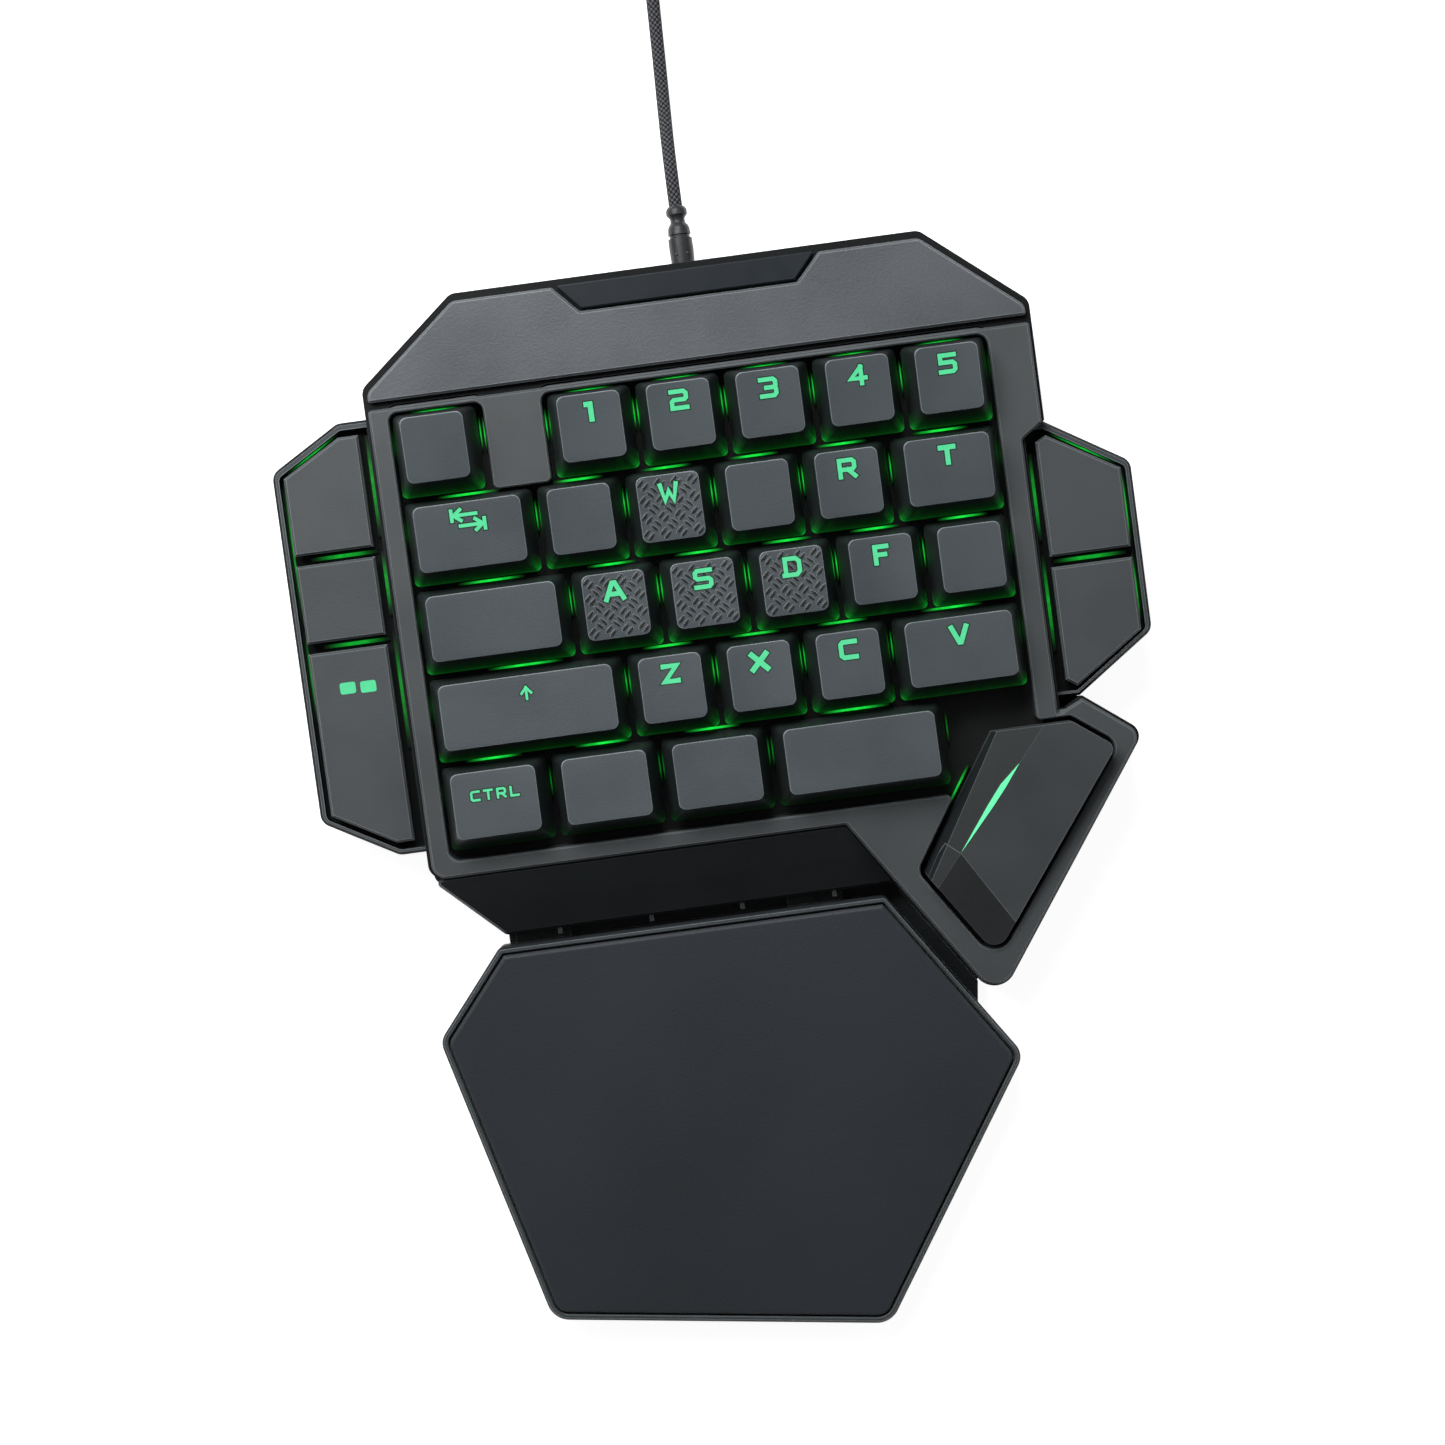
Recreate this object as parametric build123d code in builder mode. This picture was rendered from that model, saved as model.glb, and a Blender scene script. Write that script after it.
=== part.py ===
# One-handed mechanical keypad with a detachable wrist rest, in millimetres.
# +X runs along the rows of keys to the right, +Y to the rear and +Z up from the desk.
import os
from math import cos, pi, radians, sin, sqrt, tan

from build123d import *

os.makedirs("parts", exist_ok=True)

# Key grid
unit = 19.05                # pitch of the keys
grid_left = -64.75          # left edge of the first column
row_3_y = 45.65             # where the working planes cross the middle row
typing_tilt = 3.0           # the rear stands higher than the front
plate_height = 16.0         # top of the switch plate above the desk, at the middle row

# Heights above the desk
case_bottom = 1.5
floor_top = 3.5
parting_line = 9.0
wall = 2.0

# Heights above the switch plate
case_top = 7.0
frame_top = 8.5
deck_top = 9.0
wing_rim = 4.5
wing_floor = 0.8
side_key_top = 5.6
skirt_height = 6.0          # lower edge of the keycaps at rest
board_top = -5.0
board_thickness = 1.6
rest_rim = 3.2
rest_top = 3.8

board = Plane(
    origin=(0, row_3_y, plate_height),
    x_dir=(1, 0, 0),
    z_dir=(0, -sin(radians(typing_tilt)), cos(radians(typing_tilt))),
)
desk = Plane(origin=(0, row_3_y, 0))
up = Axis(board.origin, board.z_dir)


def closed_outline(points, radii):
    with BuildSketch() as shape:
        with BuildLine():
            FilletPolyline(*points, radius=radii, close=True)
        make_face()
    return shape.sketch


def raise_from(plane, shape, height, grow=0.0, mode=Mode.ADD):
    """Extrude an outline from a plane, drawn larger or smaller by grow."""
    with BuildSketch(plane) as profile:
        add(shape)
        if grow:
            offset(amount=grow, mode=Mode.REPLACE)
    extrude(profile.sketch, amount=height, mode=mode)


def save(piece, label):
    piece.label = label
    export_step(piece, f"parts/{label}.step")


# Outlines, in plan, from the middle row

case_outline = closed_outline(
    [(-69.7, 53.0), (-48.2, 70.7), (52.5, 70.7), (74.0, 53.0), (74.0, 27.2), (91.5, 16.4),
     (91.5, -20.2), (74.3, -32.1), (86.6, -41.6), (48.1, -95.4), (28.8, -66.2), (28.8, -67.3),
     (-55.8, -67.3), (-69.7, -53.2), (-69.7, -46.7), (-75.6, -46.7), (-91.5, -37.6),
     (-91.5, 38.0), (-76.2, 46.9), (-69.7, 46.9)],
    [3, 3, 3, 3, 0.5, 3, 3, 0.5, 3, 4.7, 0, 0, 1, 2, 0.5, 3, 3, 3, 3, 0.5],
)
body_outline = closed_outline(
    [(-69.7, 53.0), (-48.2, 70.7), (52.5, 70.7), (74.0, 53.0), (74.0, 27.2), (69.3, 24.0),
     (69.3, -35.0), (74.3, -32.1), (86.6, -41.6), (48.1, -95.4), (20.2, -52.8), (-69.7, -52.8)],
    [3, 3, 3, 3, 0.5, 0.5, 0.5, 0.5, 3, 4.7, 0, 3],
)
case_room = closed_outline(
    [(-67.7, 52.1), (-47.5, 68.7), (51.8, 68.7), (72.0, 52.1), (72.0, 26.1), (89.5, 15.3),
     (89.5, -19.1), (70.9, -32.0), (83.8, -42.0), (49.8, -89.5), (46.7, -89.5), (30.6, -65.3),
     (-55.0, -65.3), (-67.7, -52.4), (-67.7, -44.7), (-75.1, -44.7), (-89.5, -36.4),
     (-89.5, 36.8), (-75.7, 44.9), (-67.7, 44.9)], 0,
)
body_room = closed_outline(
    [(-67.7, 52.1), (-47.5, 68.7), (51.8, 68.7), (72.0, 52.1), (72.0, 28.3), (67.3, 25.1),
     (67.3, -38.5), (74.2, -34.5), (83.8, -42.0), (49.8, -89.5), (46.7, -89.5), (21.3, -50.8),
     (-67.7, -50.8)], 0,
)
apron_outline = closed_outline(
    [(-69.5, -53.0), (20.1, -53.0), (28.6, -66.1), (28.6, -67.1), (-55.7, -67.1)],
    [1, 0, 0, 0, 1],
)
frame_outline = closed_outline(
    [(-68.9, 48.7), (73.3, 48.7), (73.3, 27.2), (68.7, 24.1), (68.7, -35.1), (74.3, -32.5),
     (86.0, -41.6), (48.1, -94.6), (20.6, -52.6), (-68.9, -52.6)],
    [0.8, 0.8, 0.8, 1, 0.3, 0.6, 3, 4.5, 1, 3.2],
)
thumb_pocket = closed_outline(
    [(34.4, -64.7), (53.4, -35.8), (71.4, -35.8), (81.1, -43.1), (48.8, -86.5)],
    [3, 1.5, 1.5, 3, 4.2],
)
well_outline = closed_outline(
    [(-64.8, 47.6), (-44.5, 47.6), (-44.5, 28.7), (-32.0, 28.7), (-32.0, 47.6), (64.1, 47.6),
     (64.1, -35.8), (71.4, -35.8), (81.1, -43.1), (48.8, -86.5), (34.4, -64.7),
     (44.5, -49.2), (-64.8, -49.2)],
    [2, 2, 1.2, 1.2, 2, 2.5, 1, 1.5, 3, 4.2, 3, 1, 2.5],
)
deck_outline = closed_outline(
    [(-68.5, 50.3), (-68.5, 52.4), (-48.0, 69.4), (-26.6, 69.4), (-21.2, 63.6), (25.4, 63.6),
     (30.8, 69.4), (52.2, 69.4), (72.8, 52.4), (72.8, 50.3)],
    [0.6, 2.5, 2.5, 0.6, 0.6, 0.6, 0.6, 2.5, 2.5, 0.6],
)
badge_outline = closed_outline(
    [(-25.8, 69.7), (-20.9, 64.2), (25.1, 64.2), (30.0, 69.7)], 0.4,
)
left_wing = closed_outline(
    [(-68.5, 46.9), (-76.2, 46.9), (-91.5, 38.0), (-91.5, -37.6), (-75.6, -46.7), (-68.5, -46.7)],
    [0, 3, 3, 3, 3, 0],
)
right_wing = closed_outline(
    [(68.0, 27.2), (74.0, 27.2), (91.5, 16.4), (91.5, -20.2), (74.3, -32.1), (68.0, -32.1)],
    [0, 0, 3, 3, 0, 0],
)
rest_outline = closed_outline(
    [(-57.4, -69.6), (27.1, -69.6), (52.4, -107.8), (16.1, -162.4), (-56.7, -151.7),
     (-72.8, -88.0)],
    [1.5, 1.5, 4, 5, 5, 4],
)
lip_outline = closed_outline(
    [(-55.6, -67.4), (29.4, -67.4), (45.2, -91.4), (44.6, -96.0), (41.0, -94.0), (25.0, -72.0),
     (-55.6, -72.0)], 0,
)
under_lip_outline = closed_outline(
    [(-55.2, -66.5), (30.1, -66.5), (46.0, -90.6), (45.2, -91.4), (44.6, -96.0), (41.0, -94.0),
     (25.0, -72.0), (-55.2, -72.0)], 0,
)

# Keys: name, row, middle in units from the left, width in units
main_keys = [
    ("key_esc", 1, 0.5, 1), ("key_1", 1, 2.25, 1), ("key_2", 1, 3.25, 1), ("key_3", 1, 4.25, 1),
    ("key_4", 1, 5.25, 1), ("key_5", 1, 6.25, 1),
    ("key_tab", 2, 0.75, 1.5), ("key_q", 2, 2, 1), ("key_w", 2, 3, 1), ("key_e", 2, 4, 1),
    ("key_r", 2, 5, 1), ("key_t", 2, 6.125, 1.25),
    ("key_caps_lock", 3, 0.875, 1.75), ("key_a", 3, 2.25, 1), ("key_s", 3, 3.25, 1),
    ("key_d", 3, 4.25, 1), ("key_f", 3, 5.25, 1), ("key_g", 3, 6.25, 1),
    ("key_shift", 4, 1.125, 2.25), ("key_z", 4, 2.75, 1), ("key_x", 4, 3.75, 1),
    ("key_c", 4, 4.75, 1), ("key_v", 4, 6, 1.5),
    ("key_ctrl", 5, 0.625, 1.25), ("key_system", 5, 1.875, 1.25), ("key_alt", 5, 3.125, 1.25),
    ("key_space", 5, 4.75, 2),
]
cap_height = {1: 9.8, 2: 8.6, 3: 8.0, 4: 8.2, 5: 8.8}
cap_tilt = {1: 5.0, 2: 3.0, 3: 0.0, 4: -3.0, 5: -5.0}     # positive faces the typist
thumb_switch = (54.7, -57.4)


def key_spot(row, middle):
    return grid_left + middle * unit, (3 - row) * unit


switch_spots = [key_spot(row, middle) for _, row, middle, _ in main_keys] + [thumb_switch]
side_switch_spots = [(-80.5, 32.0), (-80.5, 9.5), (-80.5, -20.0), (80.0, 11.0), (80.0, -14.0)]

# Keycaps with their stems
cap_gap = 1.05              # between neighbouring keycaps, at their skirts
side_lean = 2.25            # how far each wall leans in by the top
front_lean = 2.75
rear_lean = 1.2
cap_wall = 1.4
cap_ceiling = 1.5
corner_cut = 1.1
dish_depth = 0.5
slider = (7.2, 5.6)         # runs in a hole 0.1 larger all round
slider_hole = (7.4, 5.8)
slider_bottom = 1.2
slider_top = 7.2
post_size = 4.0
post_top = 10.2


def tapered_block(x, y, base, height, tilt, inset=0.0):
    """A block with leaning walls and a tilted top, from its side and front profiles."""
    middle = board.from_local_coords((x, y, skirt_height))
    side_view = Plane(origin=middle, x_dir=board.y_dir, z_dir=board.x_dir)
    front_view = Plane(origin=middle, x_dir=board.x_dir, z_dir=-board.y_dir)
    half_width = base[0] / 2 - inset
    half_depth = base[1] / 2 - inset
    front = -half_depth + front_lean
    rear = half_depth - rear_lean
    rise = sin(radians(tilt)) * (rear - front) / 2
    with BuildPart() as block:
        with BuildSketch(side_view):
            Polygon((-half_depth, 0), (half_depth, 0), (rear, height + rise),
                    (front, height - rise), align=None)
        extrude(amount=half_width, both=True)
        with BuildSketch(front_view):
            Polygon((-half_width, 0), (half_width, 0), (half_width - side_lean, height),
                    (half_width - 1.2 * side_lean, height * 1.2),
                    (1.2 * side_lean - half_width, height * 1.2),
                    (side_lean - half_width, height), align=None)
        extrude(amount=unit, both=True, mode=Mode.INTERSECT)
    return block.part


def make_key(name, row, middle, width):
    x, y = key_spot(row, middle)
    base = (width * unit - cap_gap, unit - cap_gap)
    height = cap_height[row]
    crown = board.from_local_coords((x, y + (front_lean - rear_lean) / 2, skirt_height + height))
    half_chord = base[0] / 2 - side_lean + 0.8
    dish_radius = (half_chord**2 + dish_depth**2) / (2 * dish_depth)
    lean = radians(typing_tilt + cap_tilt[row])
    crown_plane = Plane(crown, x_dir=board.x_dir, z_dir=(0, -sin(lean), cos(lean)))
    with BuildPart() as cap:
        add(tapered_block(x, y, base, height, cap_tilt[row]))
        corners = [edge for edge in cap.edges() if abs(edge.tangent_at(0.5).dot(board.z_dir)) > 0.5]
        chamfer(corners, corner_cut)
        with Locations(crown_plane.offset(dish_radius - dish_depth).location):
            Cylinder(dish_radius, unit * 2, rotation=(90, 0, 0), mode=Mode.SUBTRACT)
        add(tapered_block(x, y, base, height - cap_ceiling, cap_tilt[row], cap_wall), mode=Mode.SUBTRACT)
        with BuildSketch(board.offset(slider_top)):
            with Locations((x, y)):
                Rectangle(post_size + 1.5, post_size + 1.5)
                Rectangle(post_size, post_size, mode=Mode.SUBTRACT)
        extrude(until=Until.NEXT, target=cap.part)
    with BuildPart() as stem:
        with BuildSketch(board.offset(slider_bottom)):
            with Locations((x, y)):
                Rectangle(*slider)
        extrude(amount=slider_top - slider_bottom)
        with BuildSketch(board.offset(slider_top)):
            with Locations((x, y)):
                Rectangle(post_size, post_size)
        extrude(amount=post_top - slider_top)
    return Compound(label=name, children=[cap.part, stem.part])


for name, row, middle, width in main_keys:
    save(make_key(name, row, middle, width), name)

# Side keys: flat caps with a short skirt and one round plunger

side_key_outlines = {
    "side_key_left_upper": ([(-72.0, 20.1), (-72.0, 44.1), (-76.3, 44.1), (-89.0, 36.9), (-89.0, 20.1)], 0),
    "side_key_left_middle": ([(-72.0, 1.1), (-72.0, 17.9), (-89.0, 17.9), (-89.0, 1.1)], 1),
    "side_key_left_lower": ([(-72.0, -43.7), (-72.0, -1.1), (-89.0, -1.1), (-89.0, -36.2), (-75.8, -43.7)], 2),
    "side_key_right_upper": ([(71.7, -1.6), (89.1, -1.6), (89.1, 15.4), (74.0, 24.4), (71.7, 23.2)], 3),
    "side_key_right_lower": ([(71.7, -3.9), (71.7, -28.2), (74.0, -29.8), (89.1, -19.6), (89.1, -3.9)], 4),
}
side_skirt_bottom = 3.0
plunger_size = 3.0


def make_side_key(name, points, switch):
    outline = closed_outline(points, 0)
    with BuildPart() as cap:
        raise_from(board.offset(side_skirt_bottom), outline, side_key_top - side_skirt_bottom)
        chamfer(cap.faces().sort_by(up)[-1].edges(), 0.5)
        raise_from(board.offset(side_skirt_bottom), outline, 1.4, grow=-1.2, mode=Mode.SUBTRACT)
        with BuildSketch(board.offset(-2.6)):
            with Locations(side_switch_spots[switch]):
                Rectangle(plunger_size, plunger_size)
        extrude(amount=side_skirt_bottom + 1.4 + 2.6)
    return cap.part


for name, (points, switch) in side_key_outlines.items():
    save(make_side_key(name, points, switch), name)

# Thumb key: a faceted cap, with a light strip along its crest and an insert at its foot

crest_start = (43.9, -61.7)
crest_end = (64.5, -37.2)
thumb_floor = 6.0
thumb_gap = 1.0


def crest_plane(side_drop, lift=0.0):
    """A plane through the crest line that falls away to one side of it."""
    start = board.from_local_coords((*crest_start, 12.0 + lift))
    end = board.from_local_coords((*crest_end, 13.6 + lift))
    along = (Vector(*end) - Vector(*start)).normalized()
    sideways = board.z_dir.cross(along).normalized()
    across = (sideways + board.z_dir * side_drop).normalized()
    return Plane(origin=start, x_dir=along, z_dir=along.cross(across))


main_facet = crest_plane(0.09)
left_facet = crest_plane(-0.25)
shoulder_start = board.from_local_coords((41.0, -60.0, 11.1))
shoulder_end = board.from_local_coords((50.0, -45.0, 11.3))
side_foot = board.from_local_coords((39.5, -59.1, thumb_floor))
side_facet = Plane(
    origin=shoulder_start, x_dir=shoulder_end - shoulder_start,
    z_dir=(shoulder_end - shoulder_start).cross(side_foot - shoulder_start),
)
insert_outline = closed_outline(
    [(28.0, -75.0), (41.0, -59.3), (43.9, -61.7), (55.6, -81.2), (48.0, -96.0)], 0,
)
strip_outline = closed_outline(
    [(44.1, -61.4), (51.8, -52.8), (55.1, -48.9), (58.6, -44.2), (54.2, -48.1), (51.0, -52.1)], 0,
)
with BuildPart() as thumb_blank:
    raise_from(board.offset(thumb_floor), thumb_pocket, 9, grow=-thumb_gap)
    split(bisect_by=main_facet, keep=Keep.BOTTOM)
    split(bisect_by=left_facet, keep=Keep.BOTTOM)
    split(bisect_by=side_facet, keep=Keep.BOTTOM)
with BuildPart() as thumb_cap:
    add(thumb_blank.part)
    raise_from(board.offset(thumb_floor), thumb_pocket, 2.0, grow=-2.4, mode=Mode.SUBTRACT)
    with BuildSketch(board.offset(thumb_floor + 2.0)):
        with Locations(thumb_switch):
            Rectangle(14.4, 14.4)
    extrude(amount=2.8, taper=28, mode=Mode.SUBTRACT)
    raise_from(board.offset(8.8), insert_outline, 6, mode=Mode.SUBTRACT)
    raise_from(board.offset(11.2), strip_outline, 6, mode=Mode.SUBTRACT)
    with BuildSketch(board.offset(slider_top)):
        with Locations(thumb_switch):
            Rectangle(post_size + 1.5, post_size + 1.5)
            Rectangle(post_size, post_size, mode=Mode.SUBTRACT)
    extrude(amount=thumb_floor + 4.8 - slider_top)
with BuildPart() as thumb_stem:
    with BuildSketch(board.offset(slider_bottom)):
        with Locations(thumb_switch):
            Rectangle(*slider)
    extrude(amount=slider_top - slider_bottom)
    with BuildSketch(board.offset(slider_top)):
        with Locations(thumb_switch):
            Rectangle(post_size, post_size)
    extrude(amount=post_top - slider_top - 0.2)
save(Compound(label="thumb_key", children=[thumb_cap.part, thumb_stem.part]), "thumb_key")

with BuildPart() as thumb_key_insert:
    raise_from(board.offset(8.8), insert_outline, 6)
    add(thumb_blank.part, mode=Mode.INTERSECT)
save(thumb_key_insert.part, "thumb_key_insert")

with BuildPart() as thumb_light_strip:
    raise_from(board.offset(11.2), strip_outline, 6)
    split(bisect_by=crest_plane(0.09, lift=0.15), keep=Keep.BOTTOM)
save(thumb_light_strip.part, "thumb_light_strip")

# Switches: a lower housing that hangs in the plate and an upper housing on its flange

flange = 15.6
cutout = 14.0
housing_top = 6.6

with BuildPart() as switch_housings:
    with BuildSketch(board.offset(board_top)):
        with Locations(*switch_spots):
            Rectangle(cutout - 0.2, cutout - 0.2)
    extrude(amount=-board_top)
    with BuildSketch(board):
        with Locations(*switch_spots):
            Rectangle(flange, flange)
    extrude(amount=1.0)
    with BuildSketch(board.offset(-3.6)):
        with Locations(*switch_spots):
            Rectangle(*slider_hole)
    extrude(amount=4.6, mode=Mode.SUBTRACT)
with BuildPart() as switch_lids:
    with BuildSketch(board.offset(1.0)):
        with Locations(*switch_spots):
            Rectangle(flange - 0.8, flange - 0.8)
    extrude(amount=housing_top - 1.0, taper=20)
    with BuildSketch(board.offset(1.0)):
        with Locations(*switch_spots):
            Rectangle(*slider_hole)
    extrude(amount=housing_top, mode=Mode.SUBTRACT)
save(switch_housings.part, "switch_lower_housings")
save(switch_lids.part, "switch_upper_housings")

plate_outline = closed_outline(
    [(-66.5, 50.2), (66.0, 50.2), (66.0, -37.5), (75.0, -37.5), (81.5, -43.0), (49.0, -87.6),
     (33.2, -65.3), (42.2, -50.8), (-66.5, -50.8)], 0,
)
with BuildPart() as switch_plate:
    raise_from(board.offset(-1.5), plate_outline, 1.5)
    with BuildSketch(board.offset(-1.5)):
        with Locations(*switch_spots):
            Rectangle(cutout, cutout)
    extrude(amount=1.5, mode=Mode.SUBTRACT)
save(switch_plate.part, "switch_plate")

# Circuit board, its controller, and one lamp beside each switch

circuit_outline = closed_outline(
    [(-66.0, 50.0), (66.0, 50.0), (66.0, 18.0), (86.0, 14.0), (86.0, -19.0), (70.0, -29.0),
     (70.0, -36.0), (79.5, -42.5), (49.0, -84.5), (37.5, -65.0), (41.0, -51.0), (-66.0, -51.0),
     (-66.0, -38.0), (-86.0, -34.0), (-86.0, 36.0), (-66.0, 40.0)], 0,
)
lamp_spots = [(x, y + 8.2) for x, y in switch_spots]
side_lamp_spots = [(-72.6, 36.0), (-72.6, 9.5), (-72.6, -28.0), (72.6, 6.0), (72.6, -20.0)]

with BuildPart() as circuit_board:
    raise_from(board.offset(board_top - board_thickness), circuit_outline, board_thickness)
save(circuit_board.part, "circuit_board")

with BuildPart() as lamps:
    with BuildSketch(board.offset(board_top)):
        with Locations(*lamp_spots, *side_lamp_spots):
            Rectangle(2.8, 1.2)
    extrude(amount=0.8)
save(lamps.part, "key_lamps")

with BuildPart() as controller_chip:
    with BuildSketch(board.offset(board_top - board_thickness)):
        with Locations((8.0, 9.5)):
            Rectangle(9, 9)
    extrude(amount=-1.4)
    chamfer(controller_chip.faces().sort_by(up)[0].edges(), 0.3)
save(controller_chip.part, "controller_chip")

with BuildPart() as side_switches:
    with BuildSketch(board.offset(board_top)):
        with Locations(*side_switch_spots):
            Rectangle(6.2, 6.2)
            Rectangle(plunger_size + 0.2, plunger_size + 0.2, mode=Mode.SUBTRACT)
    extrude(amount=3.8)
save(side_switches.part, "side_switches")

# Key frame: the face plate round the keys, with walls that stand on the switch plate

with BuildPart() as key_frame:
    raise_from(board.offset(case_top), frame_outline, frame_top - case_top)
    chamfer(key_frame.faces().sort_by(up)[-1].edges(), 0.5)
    raise_from(board, well_outline, case_top, grow=1.5)
    raise_from(board, well_outline, frame_top + 1, mode=Mode.SUBTRACT)
    chamfer(key_frame.faces().sort_by(up)[-1].inner_wires().edges(), 0.3)
save(key_frame.part, "key_frame_plate")

# Rear deck and the bare panel in its notch

with BuildPart() as rear_deck:
    raise_from(board.offset(case_top), deck_outline, deck_top - case_top)
    chamfer(rear_deck.faces().sort_by(up)[-1].edges(), 0.5)
save(rear_deck.part, "rear_deck_plate")

with BuildPart() as badge_panel:
    raise_from(board.offset(case_top), badge_outline, 1.3)
    chamfer(badge_panel.faces().sort_by(up)[-1].edges(), 0.3)
save(badge_panel.part, "badge_panel")

# Case: a lower shell with a flat floor and an upper shell cut to the slope of the keys

screw_spots = [(-19.0, 60.0), (23.2, 60.0), (31.0, -57.0), (-26.0, -60.0), (-6.0, -60.0)]
case_screw_count = 3        # the last two hold the front apron
boss_radius = 3.2
screw_radius = 1.3
head_radius = 2.5
screw_length = 4.0          # of thread above the parting line
cable_x = 2.1
cable_height = 9.0
relief_radius = 2.6
flange_radius = 3.6
hinge_spots = {"tilt_foot_left": -43.0, "tilt_foot_right": 47.2}
hinge_y = 56.0
hinge_height = 4.3
foot_width = 20.0
foot_reach = 16.0
pin_radius = 1.2
pocket_width = foot_width + 1.0
pocket_top = 6.6
tongue_spots = [(-48.0, -67.3), (12.0, -67.3)]
tongue_width = 12.0
tongue_thickness = 2.5
tongue_reach = 10.0
tongue_height = 4.2
under_lip = (0.5, 1.3)      # the edge of the lip that reaches under the case

with BuildPart() as body_blank:
    raise_from(desk.offset(parting_line), body_outline, 30)
    split(bisect_by=board.offset(case_top), keep=Keep.BOTTOM)
with BuildPart() as wing_blanks:
    raise_from(desk.offset(parting_line), left_wing, 30)
    raise_from(desk.offset(parting_line), right_wing, 30)
    split(bisect_by=board.offset(wing_rim), keep=Keep.BOTTOM)
    rims = wing_blanks.faces().filter_by(up).group_by(up)[-1]
    chamfer(rims.edges(), 0.6)
    raise_from(board.offset(wing_floor), left_wing, 10, grow=-1.3, mode=Mode.SUBTRACT)
    raise_from(board.offset(wing_floor), right_wing, 10, grow=-1.3, mode=Mode.SUBTRACT)
with BuildPart() as high_room:
    raise_from(desk.offset(parting_line), body_room, 30)
    split(bisect_by=board.offset(case_top - wall), keep=Keep.BOTTOM)
with BuildPart() as low_room:
    raise_from(desk.offset(floor_top), case_room, 30)
    split(bisect_by=board.offset(wing_floor - 1.5), keep=Keep.BOTTOM)

with BuildPart() as upper_case:
    add(wing_blanks.part)
    add(body_blank.part)
    add(high_room.part, mode=Mode.SUBTRACT)
    add(low_room.part, mode=Mode.SUBTRACT)
    raise_from(board.offset(-5), well_outline, 15, grow=1.8, mode=Mode.SUBTRACT)
    with BuildSketch(board.offset(wing_floor - 3)):
        with Locations(*side_switch_spots):
            Rectangle(plunger_size + 1.2, plunger_size + 1.2)
    extrude(amount=5, mode=Mode.SUBTRACT)
    with BuildSketch(desk.offset(parting_line)):
        with Locations(*screw_spots[:case_screw_count]):
            RegularPolygon(boss_radius, 8)
    extrude(until=Until.NEXT, target=upper_case.part)
    with BuildSketch(desk.offset(parting_line)):
        with Locations(*screw_spots[:case_screw_count]):
            RegularPolygon(screw_radius, 8)
    extrude(amount=screw_length, mode=Mode.SUBTRACT)
    with BuildSketch(Plane.XZ.offset(-90)):
        with Locations((cable_x, cable_height)):
            Circle(relief_radius)
    extrude(amount=-40, mode=Mode.SUBTRACT)
save(upper_case.part, "upper_case")

# Apron: the sloped front cover, with four small ribs towards the wrist rest

apron_slope = Plane(
    origin=desk.from_local_coords((0, -67.1, 12.3)), x_dir=(1, 0, 0),
    z_dir=(0, -sin(radians(31)), cos(radians(31))),
)
rib_spots = [-43.9, -23.8, -3.9, 16.3]

with BuildPart() as apron_room:
    raise_from(desk.offset(parting_line), apron_outline, 30, grow=-wall)
    split(bisect_by=apron_slope.offset(-wall), keep=Keep.BOTTOM)
with BuildPart() as front_apron:
    raise_from(desk.offset(parting_line), apron_outline, 30)
    split(bisect_by=apron_slope, keep=Keep.BOTTOM)
    chamfer(front_apron.faces().sort_by(Axis.Y)[0].edges().sort_by(Axis.Z)[-1], 0.6)
    add(apron_room.part, mode=Mode.SUBTRACT)
    with BuildSketch(desk.offset(parting_line)):
        with Locations(*screw_spots[case_screw_count:]):
            RegularPolygon(boss_radius, 8)
    extrude(until=Until.NEXT, target=front_apron.part)
    with BuildSketch(desk.offset(parting_line)):
        with Locations(*screw_spots[case_screw_count:]):
            RegularPolygon(screw_radius, 8)
    extrude(amount=screw_length, mode=Mode.SUBTRACT)
    with BuildSketch(desk.offset(parting_line)):
        with Locations(*[(x, -67.7) for x in rib_spots]):
            Rectangle(0.9, 1.4)
    extrude(amount=2.8)
save(front_apron.part, "front_apron")

# Lower case, with pockets for the tilt feet, slots for the wrist rest and screw bosses

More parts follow.
